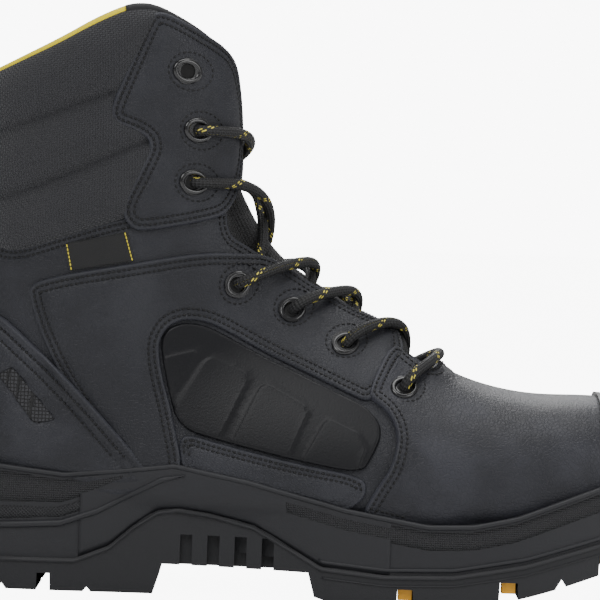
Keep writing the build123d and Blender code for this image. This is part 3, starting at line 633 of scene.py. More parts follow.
# ---------------------------------------------------------------- stitches
def stitch_tree():
    """Geometry Nodes: stitches at a pitch along every line of a curve."""
    tree = bpy.data.node_groups.new("stitch_rows", "GeometryNodeTree")
    face = tree.interface
    face.new_socket("Lines", in_out="INPUT", socket_type="NodeSocketGeometry")
    for title in ("Pitch", "Stitch Length", "Stitch Width"):
        face.new_socket(title, in_out="INPUT", socket_type="NodeSocketFloat")
    face.new_socket("Thread", in_out="INPUT", socket_type="NodeSocketMaterial")
    face.new_socket("Stitches", in_out="OUTPUT", socket_type="NodeSocketGeometry")
    add, link = tree.nodes.new, tree.links.new
    entry, leave = add("NodeGroupInput"), add("NodeGroupOutput")
    spread = add("GeometryNodeResampleCurve")
    spread.mode = "LENGTH"
    ball = add("GeometryNodeMeshUVSphere")
    ball.inputs["Segments"].default_value, ball.inputs["Rings"].default_value = 6, 5
    ball.inputs["Radius"].default_value = 0.5
    size = add("ShaderNodeCombineXYZ")
    shape = add("GeometryNodeTransform")
    tangent = add("GeometryNodeInputTangent")
    turn = add("FunctionNodeAlignRotationToVector")
    turn.axis = "Z"
    place = add("GeometryNodeInstanceOnPoints")
    solid, skin = add("GeometryNodeRealizeInstances"), add("GeometryNodeSetMaterial")
    link(entry.outputs["Lines"], spread.inputs["Curve"])
    link(entry.outputs["Pitch"], spread.inputs["Length"])
    for axis in "XY":
        link(entry.outputs["Stitch Width"], size.inputs[axis])
    link(entry.outputs["Stitch Length"], size.inputs["Z"])
    link(ball.outputs["Mesh"], shape.inputs["Geometry"])
    link(size.outputs[0], shape.inputs["Scale"])
    link(tangent.outputs[0], turn.inputs["Vector"])
    link(spread.outputs[0], place.inputs["Points"])
    link(shape.outputs[0], place.inputs["Instance"])
    link(turn.outputs[0], place.inputs["Rotation"])
    link(place.outputs[0], solid.inputs[0])
    link(solid.outputs[0], skin.inputs["Geometry"])
    link(entry.outputs["Thread"], skin.inputs["Material"])
    link(skin.outputs[0], leave.inputs[0])
    return tree


STITCH_TREE = stitch_tree()


def stitches(name, lines, pitch=2.0, length=1.45, width=0.9, thread=THREAD):
    """Stitch rows along millimetre lines, as one plain mesh."""
    curve = bpy.data.curves.new(name, "CURVE")
    curve.dimensions = "3D"
    for line in lines:
        spline = curve.splines.new("POLY")
        spline.points.add(len(line) - 1)
        spline.points.foreach_set("co", np.c_[metres(line), np.ones(len(line))].ravel())
    rows = bpy.data.objects.new(name + "_rows", curve)
    bpy.context.scene.collection.objects.link(rows)
    modifier = rows.modifiers.new("stitches", "NODES")
    modifier.node_group = STITCH_TREE
    sizes = {"Pitch": pitch * MM, "Stitch Length": length * MM, "Stitch Width": width * MM}
    values = {**sizes, "Thread": thread}
    for item in STITCH_TREE.interface.items_tree:
        if item.name in values:
            modifier[item.identifier] = values[item.name]
    bpy.context.view_layer.update()
    evaluated = rows.evaluated_get(bpy.context.evaluated_depsgraph_get())
    mesh = bpy.data.meshes.new_from_object(evaluated)
    piece = bpy.data.objects.new(name, mesh)
    bpy.context.scene.collection.objects.link(piece)
    bpy.data.objects.remove(rows)
    mesh.shade_smooth()
    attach(piece, "root")


def row_on(line, lift):
    """A stitch line on the boot's face."""
    return on_surface(line, np.full(len(line), float(lift)))


def side_loop(points, side, gap=1.3, cuts=2, keep=0.22):
    return find(spaced(rounded(points, cuts=cuts, keep=keep), gap), side)


def side_line(points, side, gap=1.2, cuts=2):
    return find(spaced(rounded(points, closed=False, cuts=cuts), gap, closed=False), side)


# ---------------------------------------------------------------- leather panels
def side_name(side):
    return "lateral" if side == LATERAL else "medial"


def crown(amount, reach):
    """A panel swells a little away from its edges."""
    return lambda points, ta, far: amount * (1 - np.exp(-((far / reach) ** 2)))


def runs_of(chosen):
    """The index runs where chosen is true, a few points or longer."""
    runs = np.split(np.arange(len(chosen)), np.where(np.diff(chosen.astype(int)) != 0)[0] + 1)
    return [run for run in runs if chosen[run[0]] and len(run) > 3]


def make_facing(side):
    loop = side_loop(FACING, side, gap=1.2)
    name = "facing_" + side_name(side)
    row = inward(loop, 2.0)
    piece = panel(
        name + "_leather", loop, 0.2, stitched(edge_profile(1.8), (2.0, 4.2)), OVERLAY,
        shape=crown(0.5, 6.0)
    )
    settle(piece, name, slot="leather")
    inner = inward(loop, 4.2)
    stitches(name + "_stitching", [row_on(row, 1.8), row_on(inner, 1.95)])
    return loop


def make_quarter(side):
    loop = side_loop(QUARTER, side, gap=1.25)
    name = "quarter_" + side_name(side)
    piece = panel(
        name + "_leather", loop, 0.15, stitched(edge_profile(1.7), (2.0, 4.2)), LEATHER,
        shape=crown(0.35, 7.0)
    )
    settle(piece, name, slot="leather")
    stitches(name + "_stitching", [row_on(inward(loop, 2.0), 1.62), row_on(inward(loop, 4.2), 1.75)])


def window_relief(loops, side):
    """Raised pads with channels between them, and a thin ridge down each pad's front edge."""
    flats = [on_surface(l) for l in loops]

    def lift(points, ta, far):
        total = np.zeros(len(points))
        flat = flat_of(ta)
        for loop, border, right in zip(loops, flats, WINDOW_RIDGES):
            tree, ridge = tree_of(border), tree_of(on_surface(find(spaced(right, 0.5, closed=False), side)))
            away = np.array([tree.find(p)[2] for p in points])
            within = inside(flat, flat_of(loop))
            rise = np.clip(away / 0.9, 0, 1)
            total = np.where(within, 0.4 * rise**0.5, total)
            total += 0.35 * np.exp(-((np.array([ridge.find(p)[2] for p in points]) / 0.4) ** 2))
        return total

    return lift


def make_side_panel(side):
    name = "side_panel_" + side_name(side)
    loop = side_loop(SIDE_PANEL, side, gap=1.1)
    windows = [side_loop(w, side, gap=0.9, cuts=2, keep=0.1) for w in WINDOWS]
    piece = panel(
        name + "_moulding", loop, 0.1, edge_profile(1.6, 1.0), MOULDED, gap=1.7, rings=(0.3, 0.7, 1.1, 1.7),
        shape=window_relief(
            windows, side
        ), lines=[inward(w, d) for w in windows for d in (-0.1, 0.35, 0.8, 1.2)],
    )
    settle(piece, name, slot="moulded")


def make_side_strip(side):
    name = "side_strip_" + side_name(side)
    loop = side_loop(SIDE_STRIP, side, gap=1.2)
    piece = panel(name + "_leather", loop, 0.1, stitched(edge_profile(1.3), (1.8, 3.6)), OVERLAY)
    settle(piece, name, slot="leather")
    rows = []
    for depth in (1.8, 3.6):
        ring = inward(loop, depth)
        points = on_surface(ring)
        upper = points[:, 2] > np.interp(points[:, 0], [95, 167], [54.5, 43.0])
        rows += [row_on(ring[run], 1.1) for run in runs_of(upper)]
    stitches(name + "_stitching", rows)


for side in (LATERAL, MEDIAL):
    make_facing(side)
    make_quarter(side)
    make_side_panel(side)
    make_side_strip(side)


# ---------------------------------------------------------------- panels that go round the boot
def both_sides(points, gap=1.3, cuts=2):
    """A closed loop from a side-view line that starts and ends on the boot's middle, with its mirror image."""
    line = spaced(rounded(points, closed=False, cuts=cuts), gap, closed=False)
    left, right = find(line, LATERAL), find(line, MEDIAL)
    left[[0, -1], 1] = right[[0, -1], 1] = 0.5
    return np.r_[left, right[::-1][1:-1]]


BACK_LEATHER = [
    (1, 127.5), (8, 129.5), (22, 131.0), (31, 129), (48, 134.8), (71, 142.6), (90, 145), (108, 148.5), (
        111.6, 147.0
    ),
    (112.0, 141.1), (113.6, 136.9), (120.5, 133.0), (127.5, 128.4), (141, 120.4), (158, 109.5), (170, 103.6),
    (
        175, 100.5
    ), (179, 88), (182, 74), (186, 60), (184, 40), (176, 31), (150, 31), (124, 35), (104, 39), (84, 39),
    (66, 37), (40, 38), (10, 40), (1, 41),
]
COLLAR = [
    (1, 189), (8, 190.4), (23, 197.2), (45, 208.2), (60, 217.0), (72, 222.6), (83, 222.8), (84.5, 219), (
        77.6, 204.6
    ),
    (72.4, 193.0), (68.4, 184.8), (70.2, 180.7), (79.2, 177.4), (85.6, 171.0), (80.8, 160.6), (
        76.0, 149.6
    ), (75.4, 143),
    (71, 141.4), (48, 133.4), (31, 127.6), (22, 129.4), (8, 128), (1, 126),
]
HEEL_STAY = [
    (4.4, 104.0), (14, 105.0), (24.0, 104.4), (
        29.6, 101.6
    ), (39.5, 93.0), (47.2, 86.4), (56.2, 77.6), (66.1, 67.4),
    (80.8, 51.9), (91.5, 40.0), (74, 37), (26, 38), (4, 39),
]


def make_back_leather():
    loop = both_sides(BACK_LEATHER)
    piece = panel(
        "back_leather", loop, -1.9, stitched(edge_profile(1.9, 1.2), (2.0, 4.0), 0.28), LEATHER, gap=2.6
    )
    settle(piece, "back_panel", slot="leather")
    rows = []
    for depth in (2.0, 4.0):
        ring = inward(loop, depth)
        above = on_surface(ring)[:, 2] > 100
        rows += [row_on(ring[run], -0.1) for run in runs_of(above)]
    stitches("back_leather_stitching", rows)


STAY_ROWS = (3.7, 7.2)  # depths of the heel stay's stitch rows, then of its faint border line
STAY_BORDER = 10.8


def stay_rise(points):
    """How much the heel stay rises to lie over the quarters' back edges."""
    edge = np.interp(points[:, 2], [43, 67, 78, 85.7, 92, 98], [78, 60.2, 52.6, 47.9, 44.9, 42.0])
    shown = np.clip((points[:, 2] - 50.5) / 8.0, 0, 1)  # it sinks to go behind the midsole
    return 2.2 * shown * np.clip((points[:, 0] - edge + 3.5) / 3.5, 0, 1)


def make_heel_stay():
    loop = both_sides(HEEL_STAY)
    windows = [side_loop(HEEL_WINDOW, side, gap=1.0, keep=0.1) for side in (LATERAL, MEDIAL)]
    borders = [on_surface(w) for w in windows]

    def lift(points, ta, far):
        flat, total = flat_of(ta), stay_rise(points) + 0.5 * (1 - np.exp(-((far / 6) ** 2)))
        total -= 0.35 * np.exp(-(((far - STAY_BORDER) / 0.9) ** 2)) * (points[:, 0] > 20)
        for window, border in zip(windows, borders):
            tree = tree_of(border)
            away = np.array([tree.find(p)[2] for p in points])
            total = np.where(inside(flat, flat_of(window)), total - 1.1 * np.clip(away / 0.7, 0, 1), total)
        return total

    rings = (0.35, 0.8, 1.4, 2.3, 3.1, 3.7, 4.3, 5.2, 6.6, 7.2, 7.8, 9.8, 10.8, 11.8)
    piece = panel(
        "heel_stay", loop, 0.15, stitched(edge_profile(2.2), STAY_ROWS, 0.8, 0.75), OVERLAY, gap=1.5,
        rings=rings, shape=lift
    )
    settle(piece, "heel_guard", slot="leather")
    rows = []
    for depth, height in zip(STAY_ROWS, (1.95, 2.1)):
        ring = inward(loop, depth)
        points = on_surface(ring)
        row = on_surface(ring, height + stay_rise(points))
        rows += [row[run] for run in runs_of(points[:, 2] > 51.5)]
    stitches("heel_stay_stitching", rows)
    for window, side in zip(windows, (LATERAL, MEDIAL)):
        inset = panel(
            f"heel_window_{side_name(side)}", inward(window, 0.8), 0.6, edge_profile(1.75, 0.8), HEXED,
            gap=1.6
        )
        settle(inset, slot="moulded")


LAP = 1.7  # how much the vamp rises over the quarters


def make_vamp():
    turns = np.linspace(0.315, -0.315, 60)[1:-1]
    seam = [(193.5, 89.0), (190.5, 86.6), (184, 90.0), (175.4, 98.0), *VAMP_EDGE[1:], (178, 31), (200, 27)]
    line = spaced(rounded(seam, closed=False), 1.2, closed=False)
    left, right = find(line, LATERAL), find(line, MEDIAL)
    right[:, 1] -= 1
    left[0, 1] = right[0, 1] = 0.0
    bottom = np.array([(t, 0.325) for t in np.linspace(left[-1, 0] + 0.1, LAST - 0.12, 64)])
    front = np.array([(LAST - 0.1, a) for a in turns])
    loop = np.r_[left, bottom, front, bottom[::-1] * [1, -1], right[::-1][:-1]]
    def lap(points, ta, far):
        return LAP * np.exp(-((far / 6.0) ** 2)) * (points[:, 0] < 200)

    piece = panel(
        "vamp_leather", loop, -1.9, stitched(edge_profile(2.9, 1.4), (2.0, 4.2), 0.3), VAMP, gap=2.6,
        shape=lap
    )
    settle(piece, "vamp", slot="leather")
    rows = []
    for depth in (2.0, 4.2):
        ring = inward(loop, depth)
        points = on_surface(ring)
        shown = (points[:, 0] < 196) & (points[:, 2] > 34)
        lift = 0.85 + LAP * float(np.exp(-((depth / 6.0) ** 2)))
        rows += [row_on(ring[run], lift) for run in runs_of(shown)]
    stitches("vamp_stitching", rows)


def make_collar():
    loop = both_sides(COLLAR, gap=1.5)
    lines = [
        on_surface(side_line(g if g[0][0] < 0 else [(1, g[0][1] - 5), *g], side, 1.0))
        for g in GROOVES for side in (LATERAL, MEDIAL)
    ]
    tree = tree_of(np.concatenate(lines))

    def lift(points, ta, far):
        away = np.array([tree.find(p)[2] for p in points])
        puff = 2.6 * (1 - np.exp(-((away / 7.0) ** 2))) * (1 - np.exp(-((far / 7.0) ** 2)))
        crease = 2.2 * np.exp(-((away / 1.7) ** 2)) * np.clip(far / 3, 0, 1)
        waves = np.array([
            noise.noise(Vector(p) * 0.07) * 0.7 + noise.noise(Vector(p) * 0.35) * 0.1 for p in points
        ])
        return puff - crease + waves * np.clip(far / 4, 0, 1)

    piece = panel(
        "padded_collar", loop, -2.2, edge_profile(3.9, 4.2), NYLON, gap=1.7,
        rings=(0.4, 1.0, 1.8, 2.8, 4.0), shape=lift
    )
    settle(piece, "collar_cover", slot="nylon")


# ---------------------------------------------------------------- rolled edge of the collar
def sweep(name, rings, material, uv=None):
    """A closed tube through rings of points, with its ends closed."""
    rings = np.asarray(rings)
    count, around = rings.shape[:2]
    faces = [
        (
            i * around + j, i * around + (j + 1) % around, (i + 1) * around + (j + 1) % around,
            (i + 1) * around + j
        )
        for i in range(count - 1) for j in range(around)
    ]
    faces += [tuple(range(around))[::-1], tuple((count - 1) * around + j for j in range(around))]
    piece = make_object(name, rings.reshape(-1, 3), faces, material, uv)
    outwards(piece)
    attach(piece, "root")
    return piece


def rim_rings(line, outer, inner, rise):
    """Half-round sections along a rim line, from lift outer over the top to lift inner."""
    rings = []
    angles = np.linspace(0, pi, 11)
    for t, a in line:
        here = np.array([[t, a]])
        up = on_surface(here - [0.12, 0])[0] - on_surface(here)[0]
        up /= np.linalg.norm(up)
        point, normal = on_surface(here)[0], sample(NORMALS, t, a)
        middle, half = (outer + inner) / 2, (outer - inner) / 2
        ring = [point + normal * (middle + half * cos(k)) + up * (rise * sin(k)) for k in angles]
        ring += [point + normal * inner - up * 3.0, point + normal * outer - up * 3.0]
        rings.append(ring)
    return rings


def make_rim():
    rim = [
        (1, 188.6), (8, 190.2), (23, 197.0), (45, 208.0), (60, 216.8), (72, 222.2), (82, 222.6),
        (97, 215.4), (109, 206.5)
    ]
    line = spaced(rounded(rim, closed=False), 1.1, closed=False)
    left, right = find(line, LATERAL), find(line, MEDIAL)
    left[0, 1] = right[0, 1] = 0.5
    whole = np.r_[left[::-1], right[1:]]
    places = on_surface(whole)[:, 0]
    yellow = whole[places < 71.0]
    piece = sweep("lining_roll", rim_rings(yellow, 0.3, -5.6, 1.7), LINING)
    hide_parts("collar_foam")
    for name, part in (
        ("lateral", left[::-1][on_surface(left[::-1])[:, 0] > 69.5]),
        ("medial", right[on_surface(right)[:, 0] > 69.5])
    ):
        sweep(f"collar_edge_{name}", rim_rings(part, 0.7, -5.4, 1.9), NYLON)


# ---------------------------------------------------------------- tongue
def front_turn(t, y):
    """The turn a at which the front of section t lies y to the side."""
    turns = np.linspace(-0.2, 0.2, 401)
    ys = sample(GRID, np.full(401, t), turns)[:, 1]
    return float(np.interp(y, ys[::-1], turns[::-1]))


def make_tongue():
    stations = np.linspace(1.5, 12.6, 110)
    width = np.interp(stations, [1.5, 2.4, 4.0, 8.2, 10.5, 12.6], [18.0, 27.0, 32.0, 32.0, 24.0, 15.0])
    right = np.array([(t, front_turn(t, y)) for t, y in zip(stations, width)])
    left = np.array([(t, front_turn(t, -y)) for t, y in zip(stations, width)])
    low = np.array([(12.6, a) for a in np.linspace(right[-1, 1], left[-1, 1], 14)[1:-1]])
    high = np.array([(1.5, a) for a in np.linspace(left[0, 1], right[0, 1], 14)[1:-1]])
    loop = np.r_[right, low, left[::-1], high]

    def lift(points, ta, far):
        y, t = np.abs(points[:, 1]), ta[:, 0]
        fade = np.clip((12.9 - t) / 1.5, 0, 1)
        ridge = 6.9 * np.exp(-((y / 9.0) ** 4)) * fade
        channels = sum(0.8 * np.exp(-(((y - k) / 0.8) ** 2)) for k in (5.5,))
        waves = np.array([noise.noise(Vector(p) * 0.09) * 0.5 for p in points])
        return (ridge - channels * fade - np.abs(waves)) * np.clip(far / 3, 0, 1)

    piece = panel(
        "padded_tongue", loop, -13.4, edge_profile(2.9, 2.4), TONGUE_CLOTH, gap=1.6,
        rings=(0.5, 1.2, 2.2), shape=lift
    )
    settle(piece, "tongue", body="tongue", slot="nylon")


# ---------------------------------------------------------------- eyelets and lace
LACE = 4.2  # lace diameter, and the rest of its route's sizes as on the boot
LACE_RISE, LACE_DROP, LACE_LIFT, THROAT_HALF_GAP = 7.6, 7.4, 6.2, 13.0


def place_of(h, z, side):
    """A surface point and its normal."""
    ta = find([(h, z)], side)
    return on_surface(ta)[0], sample(NORMALS, ta[:, 0], ta[:, 1])[0], ta[0, 0]


def front_place(t, y):
    a = front_turn(t, y)
    return on_surface(np.array([[t, a]]))[0], sample(NORMALS, t, a)


def lace_leg(start, side, over):
    """Points of one leg: out of an eyelet and across to the next one down, under its edge."""
    first, first_normal, t0 = place_of(*EYELETS[start], side)
    last, last_normal, t1 = place_of(*EYELETS[start + 1], -side)
    near, near_normal = front_place(t0 + 0.16 * (t1 - t0), side * (THROAT_HALF_GAP + 1.5))
    centre, centre_normal = front_place(t0 + 0.5 * (t1 - t0), 0.0)
    far, far_normal = front_place(t0 + 0.86 * (t1 - t0), -side * (THROAT_HALF_GAP + 1.5))
    return [
        first + first_normal * LACE_RISE, near + near_normal * LACE_LIFT,
        centre + centre_normal * LACE * (0.95 if over else -0.1),
        far - far_normal * (4.6), last - last_normal * LACE_DROP,
    ]


def lace_end(side):
    """Points of an end, from inside the shaft up to the top laced eyelet."""
    points = []
    for drop in (3.0, 2.0, 1.0):
        spot, normal, _ = place_of(EYELETS[1][0] - 3 * drop, EYELETS[1][1] - 15 * drop, side)
        points.append(spot - normal * (LACE_DROP + 0.9 * drop))
    eyelet, normal, _ = place_of(*EYELETS[1], side)
    return [*points, eyelet - normal * LACE_DROP]


def lace_route():
    down, up, side = [], [], LATERAL
    for start in range(1, len(EYELETS) - 1):
        down += lace_leg(start, side, side < 0)
        up += lace_leg(start, -side, side > 0)
        side = -side
    bar = []
    for way in (side, -side):
        eyelet, normal, t = place_of(*EYELETS[-1], way)
        edge, edge_normal = front_place(t + 0.35, way * (THROAT_HALF_GAP - 1))
        bar.append([eyelet + normal * LACE_RISE, edge + edge_normal * LACE_LIFT])
    return np.array(lace_end(LATERAL) + down + bar[0] + bar[1][::-1] + up[::-1] + lace_end(MEDIAL)[::-1])


def smooth_line(points, gap):
    """A quadratic B-spline through the middles of a route's runs, with points a gap apart."""
    middles = (points[1:] + points[:-1]) / 2
    line = [points[0]]
    for start, corner, end in zip(middles[:-1], points[1:-1], middles[1:]):
        for u in np.linspace(0, 1, 24, endpoint=False):
            line.append((1 - u) ** 2 * start + 2 * u * (1 - u) * corner + u * u * end)
    return spaced(np.array([*line, points[-1]]), gap, closed=False)


def make_lace():
    line = smooth_line(lace_route(), 0.55)
    tangents = np.gradient(line, axis=0)
    tangents /= np.linalg.norm(tangents, axis=1)[:, None]
    side = np.cross(tangents[0], [0, 0, 1])
    count, plies = 26, 6
    angles = np.arange(count) * 2 * pi / count
    along = np.r_[0, np.cumsum(np.linalg.norm(np.diff(line, axis=0), axis=1))]
    rings, uv = [], []
    for point, tangent, far in zip(line, tangents, along):
        side = side - tangent * (side @ tangent)
        side /= np.linalg.norm(side)
        other = np.cross(tangent, side)
        twist = 2 * pi * far / 4.4
        bulge = 0.13 * np.abs(np.cos(plies * angles / 2 + twist) * np.cos(plies * angles / 2 - twist))
        radius = (LACE / 2 - 0.1 + bulge)[:, None]
        rings.append(point + radius * (np.cos(angles)[:, None] * side + np.sin(angles)[:, None] * other))
        uv += [(k / count, far * MM) for k in range(count)]
    piece = sweep("braided_lace", rings, BRAID, uv=uv)
    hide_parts("lace")


def make_eyelets(side):
    """Oval moulded rings with a near-black disc of painted shade across each hole, and a ring of stitches round
    each.
    """
    rings, rows = [], []
    for k, (h, z) in enumerate(EYELETS):
        point, normal, t = place_of(h, z, side)
        lift = (2.4, 2.15, 1.0)[0 if k < 3 else 1 if k < 6 else 2]
        along = np.cross(normal, [0, 1, 0]) if abs(normal[1]) < 0.9 else np.cross(normal, [0, 0, 1])
        along = np.array([1.0, 0, -0.15]) if k < 3 else np.array([0.7, 0, 0.7])
        along -= normal * (along @ normal)
        along /= np.linalg.norm(along)
        across = np.cross(normal, along)
        wide, tall = (5.9, 4.3) if k < 3 else (5.4, 4.4)
        turns = np.linspace(0, 2 * pi, 40, endpoint=False)
        loop = []
        for turn in turns:
            out = cos(turn) * along * wide + sin(turn) * across * tall
            away = out / np.linalg.norm(out)
            ring = [
                point + out * 0.86 + away * (1.15 * cos(p)) + normal * (lift + 0.1 + 0.85 * sin(p))
                for p in np.linspace(0, 2 * pi, 10, endpoint=False)
            ]
            loop.append(ring)
        rings.append(np.array(loop))
        circle = np.array([
            point + (cos(u) * along * (wide + 3.0) + sin(u) * across * (tall + 2.9)) + normal * lift
            for u in np.linspace(0, 2 * pi, 60)
        ])
        ta = find(circle[:, [0, 2]], side)
        rows.append(on_surface(ta, np.full(len(ta), lift + 0.05)))
    points, faces, start, hole_shade_faces = [], [], 0, []
    for loop in rings:
        n, m = loop.shape[:2]
        points.append(loop.reshape(-1, 3))
        faces += [
            (
                start + i * m + j, start + i * m + (j + 1) % m, start + ((i + 1) % n) * m + (j + 1) % m,
                start + ((i + 1) % n) * m + j
            )
            for i in range(n) for j in range(m)
        ]
        # A flat disc across the hole, in the painted-shade material.
        inner = loop.mean(1)
        points.append(inner)
        hole_shade_faces.append(len(faces))
        faces.append(tuple(start + n * m + i for i in range(n)))
        start += n * m + n
    piece = make_object(f"eyelet_rings_{side_name(side)}", np.concatenate(points), faces, RING)
    piece.data.materials.append(HOLE_SHADE)
    for face in hole_shade_faces:
        piece.data.polygons[face].material_index = 1
    outwards(piece)
    settle(piece, slot="eyelet")
    stitches(f"eyelet_stitching_{side_name(side)}", rows, pitch=2.2, length=1.5, width=0.75)


# ---------------------------------------------------------------- sole
SOLE_OUTLINE = [  # seen from above (h, y)
    (0, 0), (3.5, -17), (14, -30), (31, -37.5), (52, -39), (80, -38), (104, -38.5), (128, -42.5), (
        152, -48.5
    ),
    (176, -52.6), (197, -54), (217, -52.8), (237, -49.3), (257, -42.7), (276, -32.6), (292, -19.5), (304, -5),
    (309.6, 8), (307, 21), (298, 33), (284, 43.5), (265, 50.6), (243, 53.8), (220, 54), (196, 51), (
        168, 44.5
    ),
    (136, 38.8), (104, 36.8), (78, 37.2), (52, 38.6), (31, 37.5), (14, 30), (3.5, 17),
]


def periodic(points, gap):
    """A smooth closed line through points."""
    p = np.asarray(points, float)
    out = []
    for i in range(len(p)):
        a, b, c, d = p[i - 1], p[i], p[(i + 1) % len(p)], p[(i + 2) % len(p)]
        for u in np.linspace(0, 1, 16, endpoint=False):
            out.append(0.5 * (
                2 * b + (c - a) * u + (2 * a - 5 * b + 4 * c - d) * u**2 + (3 * b - a - 3 * c + d) * u**3
            ))
    return spaced(np.array(out), gap)


SOLE_EDGE = periodic(SOLE_OUTLINE, 1.6)
SOLE_OUT = np.roll(SOLE_EDGE, -1, 0) - np.roll(SOLE_EDGE, 1, 0)
SOLE_OUT = np.stack([SOLE_OUT[:, 1], -SOLE_OUT[:, 0]], 1) / np.linalg.norm(SOLE_OUT, axis=1)[:, None]


def push_table():
    """How far the wall has to stand out from the sole's edge to pass over the upper, by place and height."""
    heights = np.linspace(26, 56, 11)
    table = np.zeros((len(heights), len(SOLE_EDGE)))
    for k, z in enumerate(heights):
        for side in (LATERAL, MEDIAL):
            chosen = np.where(
                (SOLE_EDGE[:, 0] > 55) & (SOLE_EDGE[:, 0] < 200) & (np.sign(SOLE_EDGE[:, 1]) == side)
            )[0]
            ta = find(np.c_[SOLE_EDGE[chosen, 0], np.full(len(chosen), z)], side)
            reach = np.abs(on_surface(ta)[:, 1]) + 2.0
            table[k, chosen] = np.maximum(0, reach - np.abs(SOLE_EDGE[chosen, 1]))
    return heights, table


PUSH_HEIGHTS, PUSH = push_table()


def upper_push(z):
    """The push at each point of the sole's edge at the heights z."""
    place = np.clip((z - PUSH_HEIGHTS[0]) / (PUSH_HEIGHTS[1] - PUSH_HEIGHTS[0]), 0, len(PUSH_HEIGHTS) - 1.001)
    low, part = place.astype(int), place - place.astype(int)
    columns = np.arange(len(z))
    return PUSH[low, columns] * (1 - part) + PUSH[low + 1, columns] * part


def sole_band(
    name, low, high, proud, material, base=-0.6, rows=7, span=(-20, 330), slot="midsole_foam", power=0.5
):
    """A band round the sole's wall between two side-view lines, standing proud by proud(v), v going 0 to 1 up."""
    h = SOLE_EDGE[:, 0]
    low_z, high_z = (np.interp(h, *np.array(line, float).T) for line in (low, high))
    heights = np.linspace(0, 1, rows)
    out = [base, *[proud * (1 - abs(2 * v - 1) ** 2.4) ** power for v in heights], base]
    ups = [0.0, *heights, 1.0]
    rings = np.array([
        np.c_[
            SOLE_EDGE + SOLE_OUT * (o + upper_push(low_z + (high_z - low_z) * v))[:, None],
            low_z + (high_z - low_z) * v
        ]
        for o, v in zip(out, ups)
    ]).transpose(1, 0, 2)
    n, m = rings.shape[:2]
    keep = (h > span[0]) & (h < span[1]) & (high_z - low_z > 0.4)
    faces = [
        (i * m + j, i * m + (j + 1) % m, ((i + 1) % n) * m + (j + 1) % m, ((i + 1) % n) * m + j)
        for i in range(n) if keep[i] and keep[(i + 1) % n] for j in range(m)
    ]
    ends = [i for i in range(n) if keep[i] and not (keep[i - 1] and keep[(i + 1) % n])]
    faces += [tuple(i * m + j for j in range(m)) for i in ends]
    uv = np.array([
        (i * 1.6 * MM, (z_low + (z_high - z_low) * v) * MM)
        for i, (z_low, z_high) in enumerate(zip(low_z, high_z)) for v in ups
    ])
    piece = make_object(name, rings.reshape(-1, 3), faces, material, uv)
    work = bmesh.new()
    work.from_mesh(piece.data)
    bmesh.ops.delete(work, geom=[v for v in work.verts if not v.link_faces], context="VERTS")
    work.to_mesh(piece.data)
    work.free()
    outwards(piece)
    settle(piece, slot=slot)
    return piece


def shifted(line, up):
    return [(h, z + up) for h, z in line]


MIDSOLE_TOP = [
    (-8, 50), (29, 47.4), (53, 45), (74, 47.3), (95, 50), (124, 45), (160, 36), (192, 31), (
        209, 31.6
    ), (225, 35),
    (256, 46.6), (286, 52), (322, 54),
]
WELT = [
    (-8, 12.8), (28, 12), (58, 12.2), (71, 17.5), (80, 25.5), (89, 31.6), (97, 32.7), (109, 31.2), (
        126, 27.4
    ),
    (142, 18.8), (152, 13.2), (176, 11.3), (202, 12.2), (229, 17), (259, 25.8), (288, 34.5), (322, 44),
]
HEEL_BAND_LOW = [(-8, 35), (28, 33), (52, 33.5), (64, 37.5), (76, 44), (82, 48), (83, 49)]
HEEL_RIDGE = [(-8, 24.5), (28, 24), (52, 25.5), (66, 30.5), (80, 38), (90, 43.5), (97, 45.5), (104, 44.5)]


def make_sole_bands():
    sole_band(
        "midsole_waist_wall", shifted(WELT, 0.2), shifted(MIDSOLE_TOP, -0.4), 0.5, FOAM, base=-5.0,
        rows=12, span=(58, 178), power=0.2
    )
    sole_band("midsole_top_bead", shifted(MIDSOLE_TOP, -1.9), shifted(MIDSOLE_TOP, 0.1), 0.9, FOAM, rows=7)
    sole_band(
        "midsole_heel_texture", HEEL_BAND_LOW, shifted(MIDSOLE_TOP, -2.6), 0.7, GRIPPED, rows=5,
        span=(-20, 76), power=0.2
    )
    sole_band(
        "midsole_heel_ridge", shifted(HEEL_RIDGE[:-2], -1.2) + [(99, 45.6)],
        shifted(HEEL_RIDGE[:-2], 1.6) + [(99, 46.1)], 1.3, FOAM, rows=8, span=(-20, 100)
    )
    low = [(-8, 25.6), (28, 25.6), (52, 27.2), (66, 32.2), (74, 36.5)]
    sole_band(
        "midsole_heel_hatching", shifted(low, 0.8), shifted(HEEL_BAND_LOW, -1.4), 0.45, HATCHED, rows=4,
        span=(-20, 66), power=0.2
    )
    front = [(h, z) for h, z in MIDSOLE_TOP if h > 100]
    sole_band(
        "midsole_toe_texture", shifted(front, -9.5), shifted(front, -2.6), 0.65, GRIPPED, rows=5,
        span=(138, 330), power=0.2
    )
    sole_band("midsole_toe_ridge", shifted(WELT, 1.2), shifted(WELT, 3.0), 0.9, FOAM, rows=6, span=(150, 330))
    sole_band(
        "welt_bead", shifted(WELT, -1.8), shifted(WELT, 0.3), 2.0, SOLE, base=0.2, rows=6,
        slot="sole_rubber"
    )
    sole_band(
        "welt_line", shifted(WELT, -4.4), shifted(WELT, -3.2), 1.6, SOLE, base=0.2, rows=5,
        slot="sole_rubber", span=(152, 330)
    )


def make_label(side):
    """A plain woven tab with a yellow thread down each side."""
    loop = side_loop(LABEL, side, gap=1.0, cuts=1, keep=0.06)
    settle(panel("woven_tab", loop, 0.0, edge_profile(0.9, 0.5), TAPE, gap=2.0), "label", slot="label")
    for k, (start, end) in enumerate((((51.2, 131.2), (53.0, 122.6)), ((73.0, 136.4), (75.8, 127.0)))):
        line = find(spaced(np.array([start, end]), 0.8, closed=False), side)
        stitches(f"tab_thread_{k}", [row_on(line, 0.95)], pitch=1.3, length=1.3, width=0.55, thread=YELLOW)


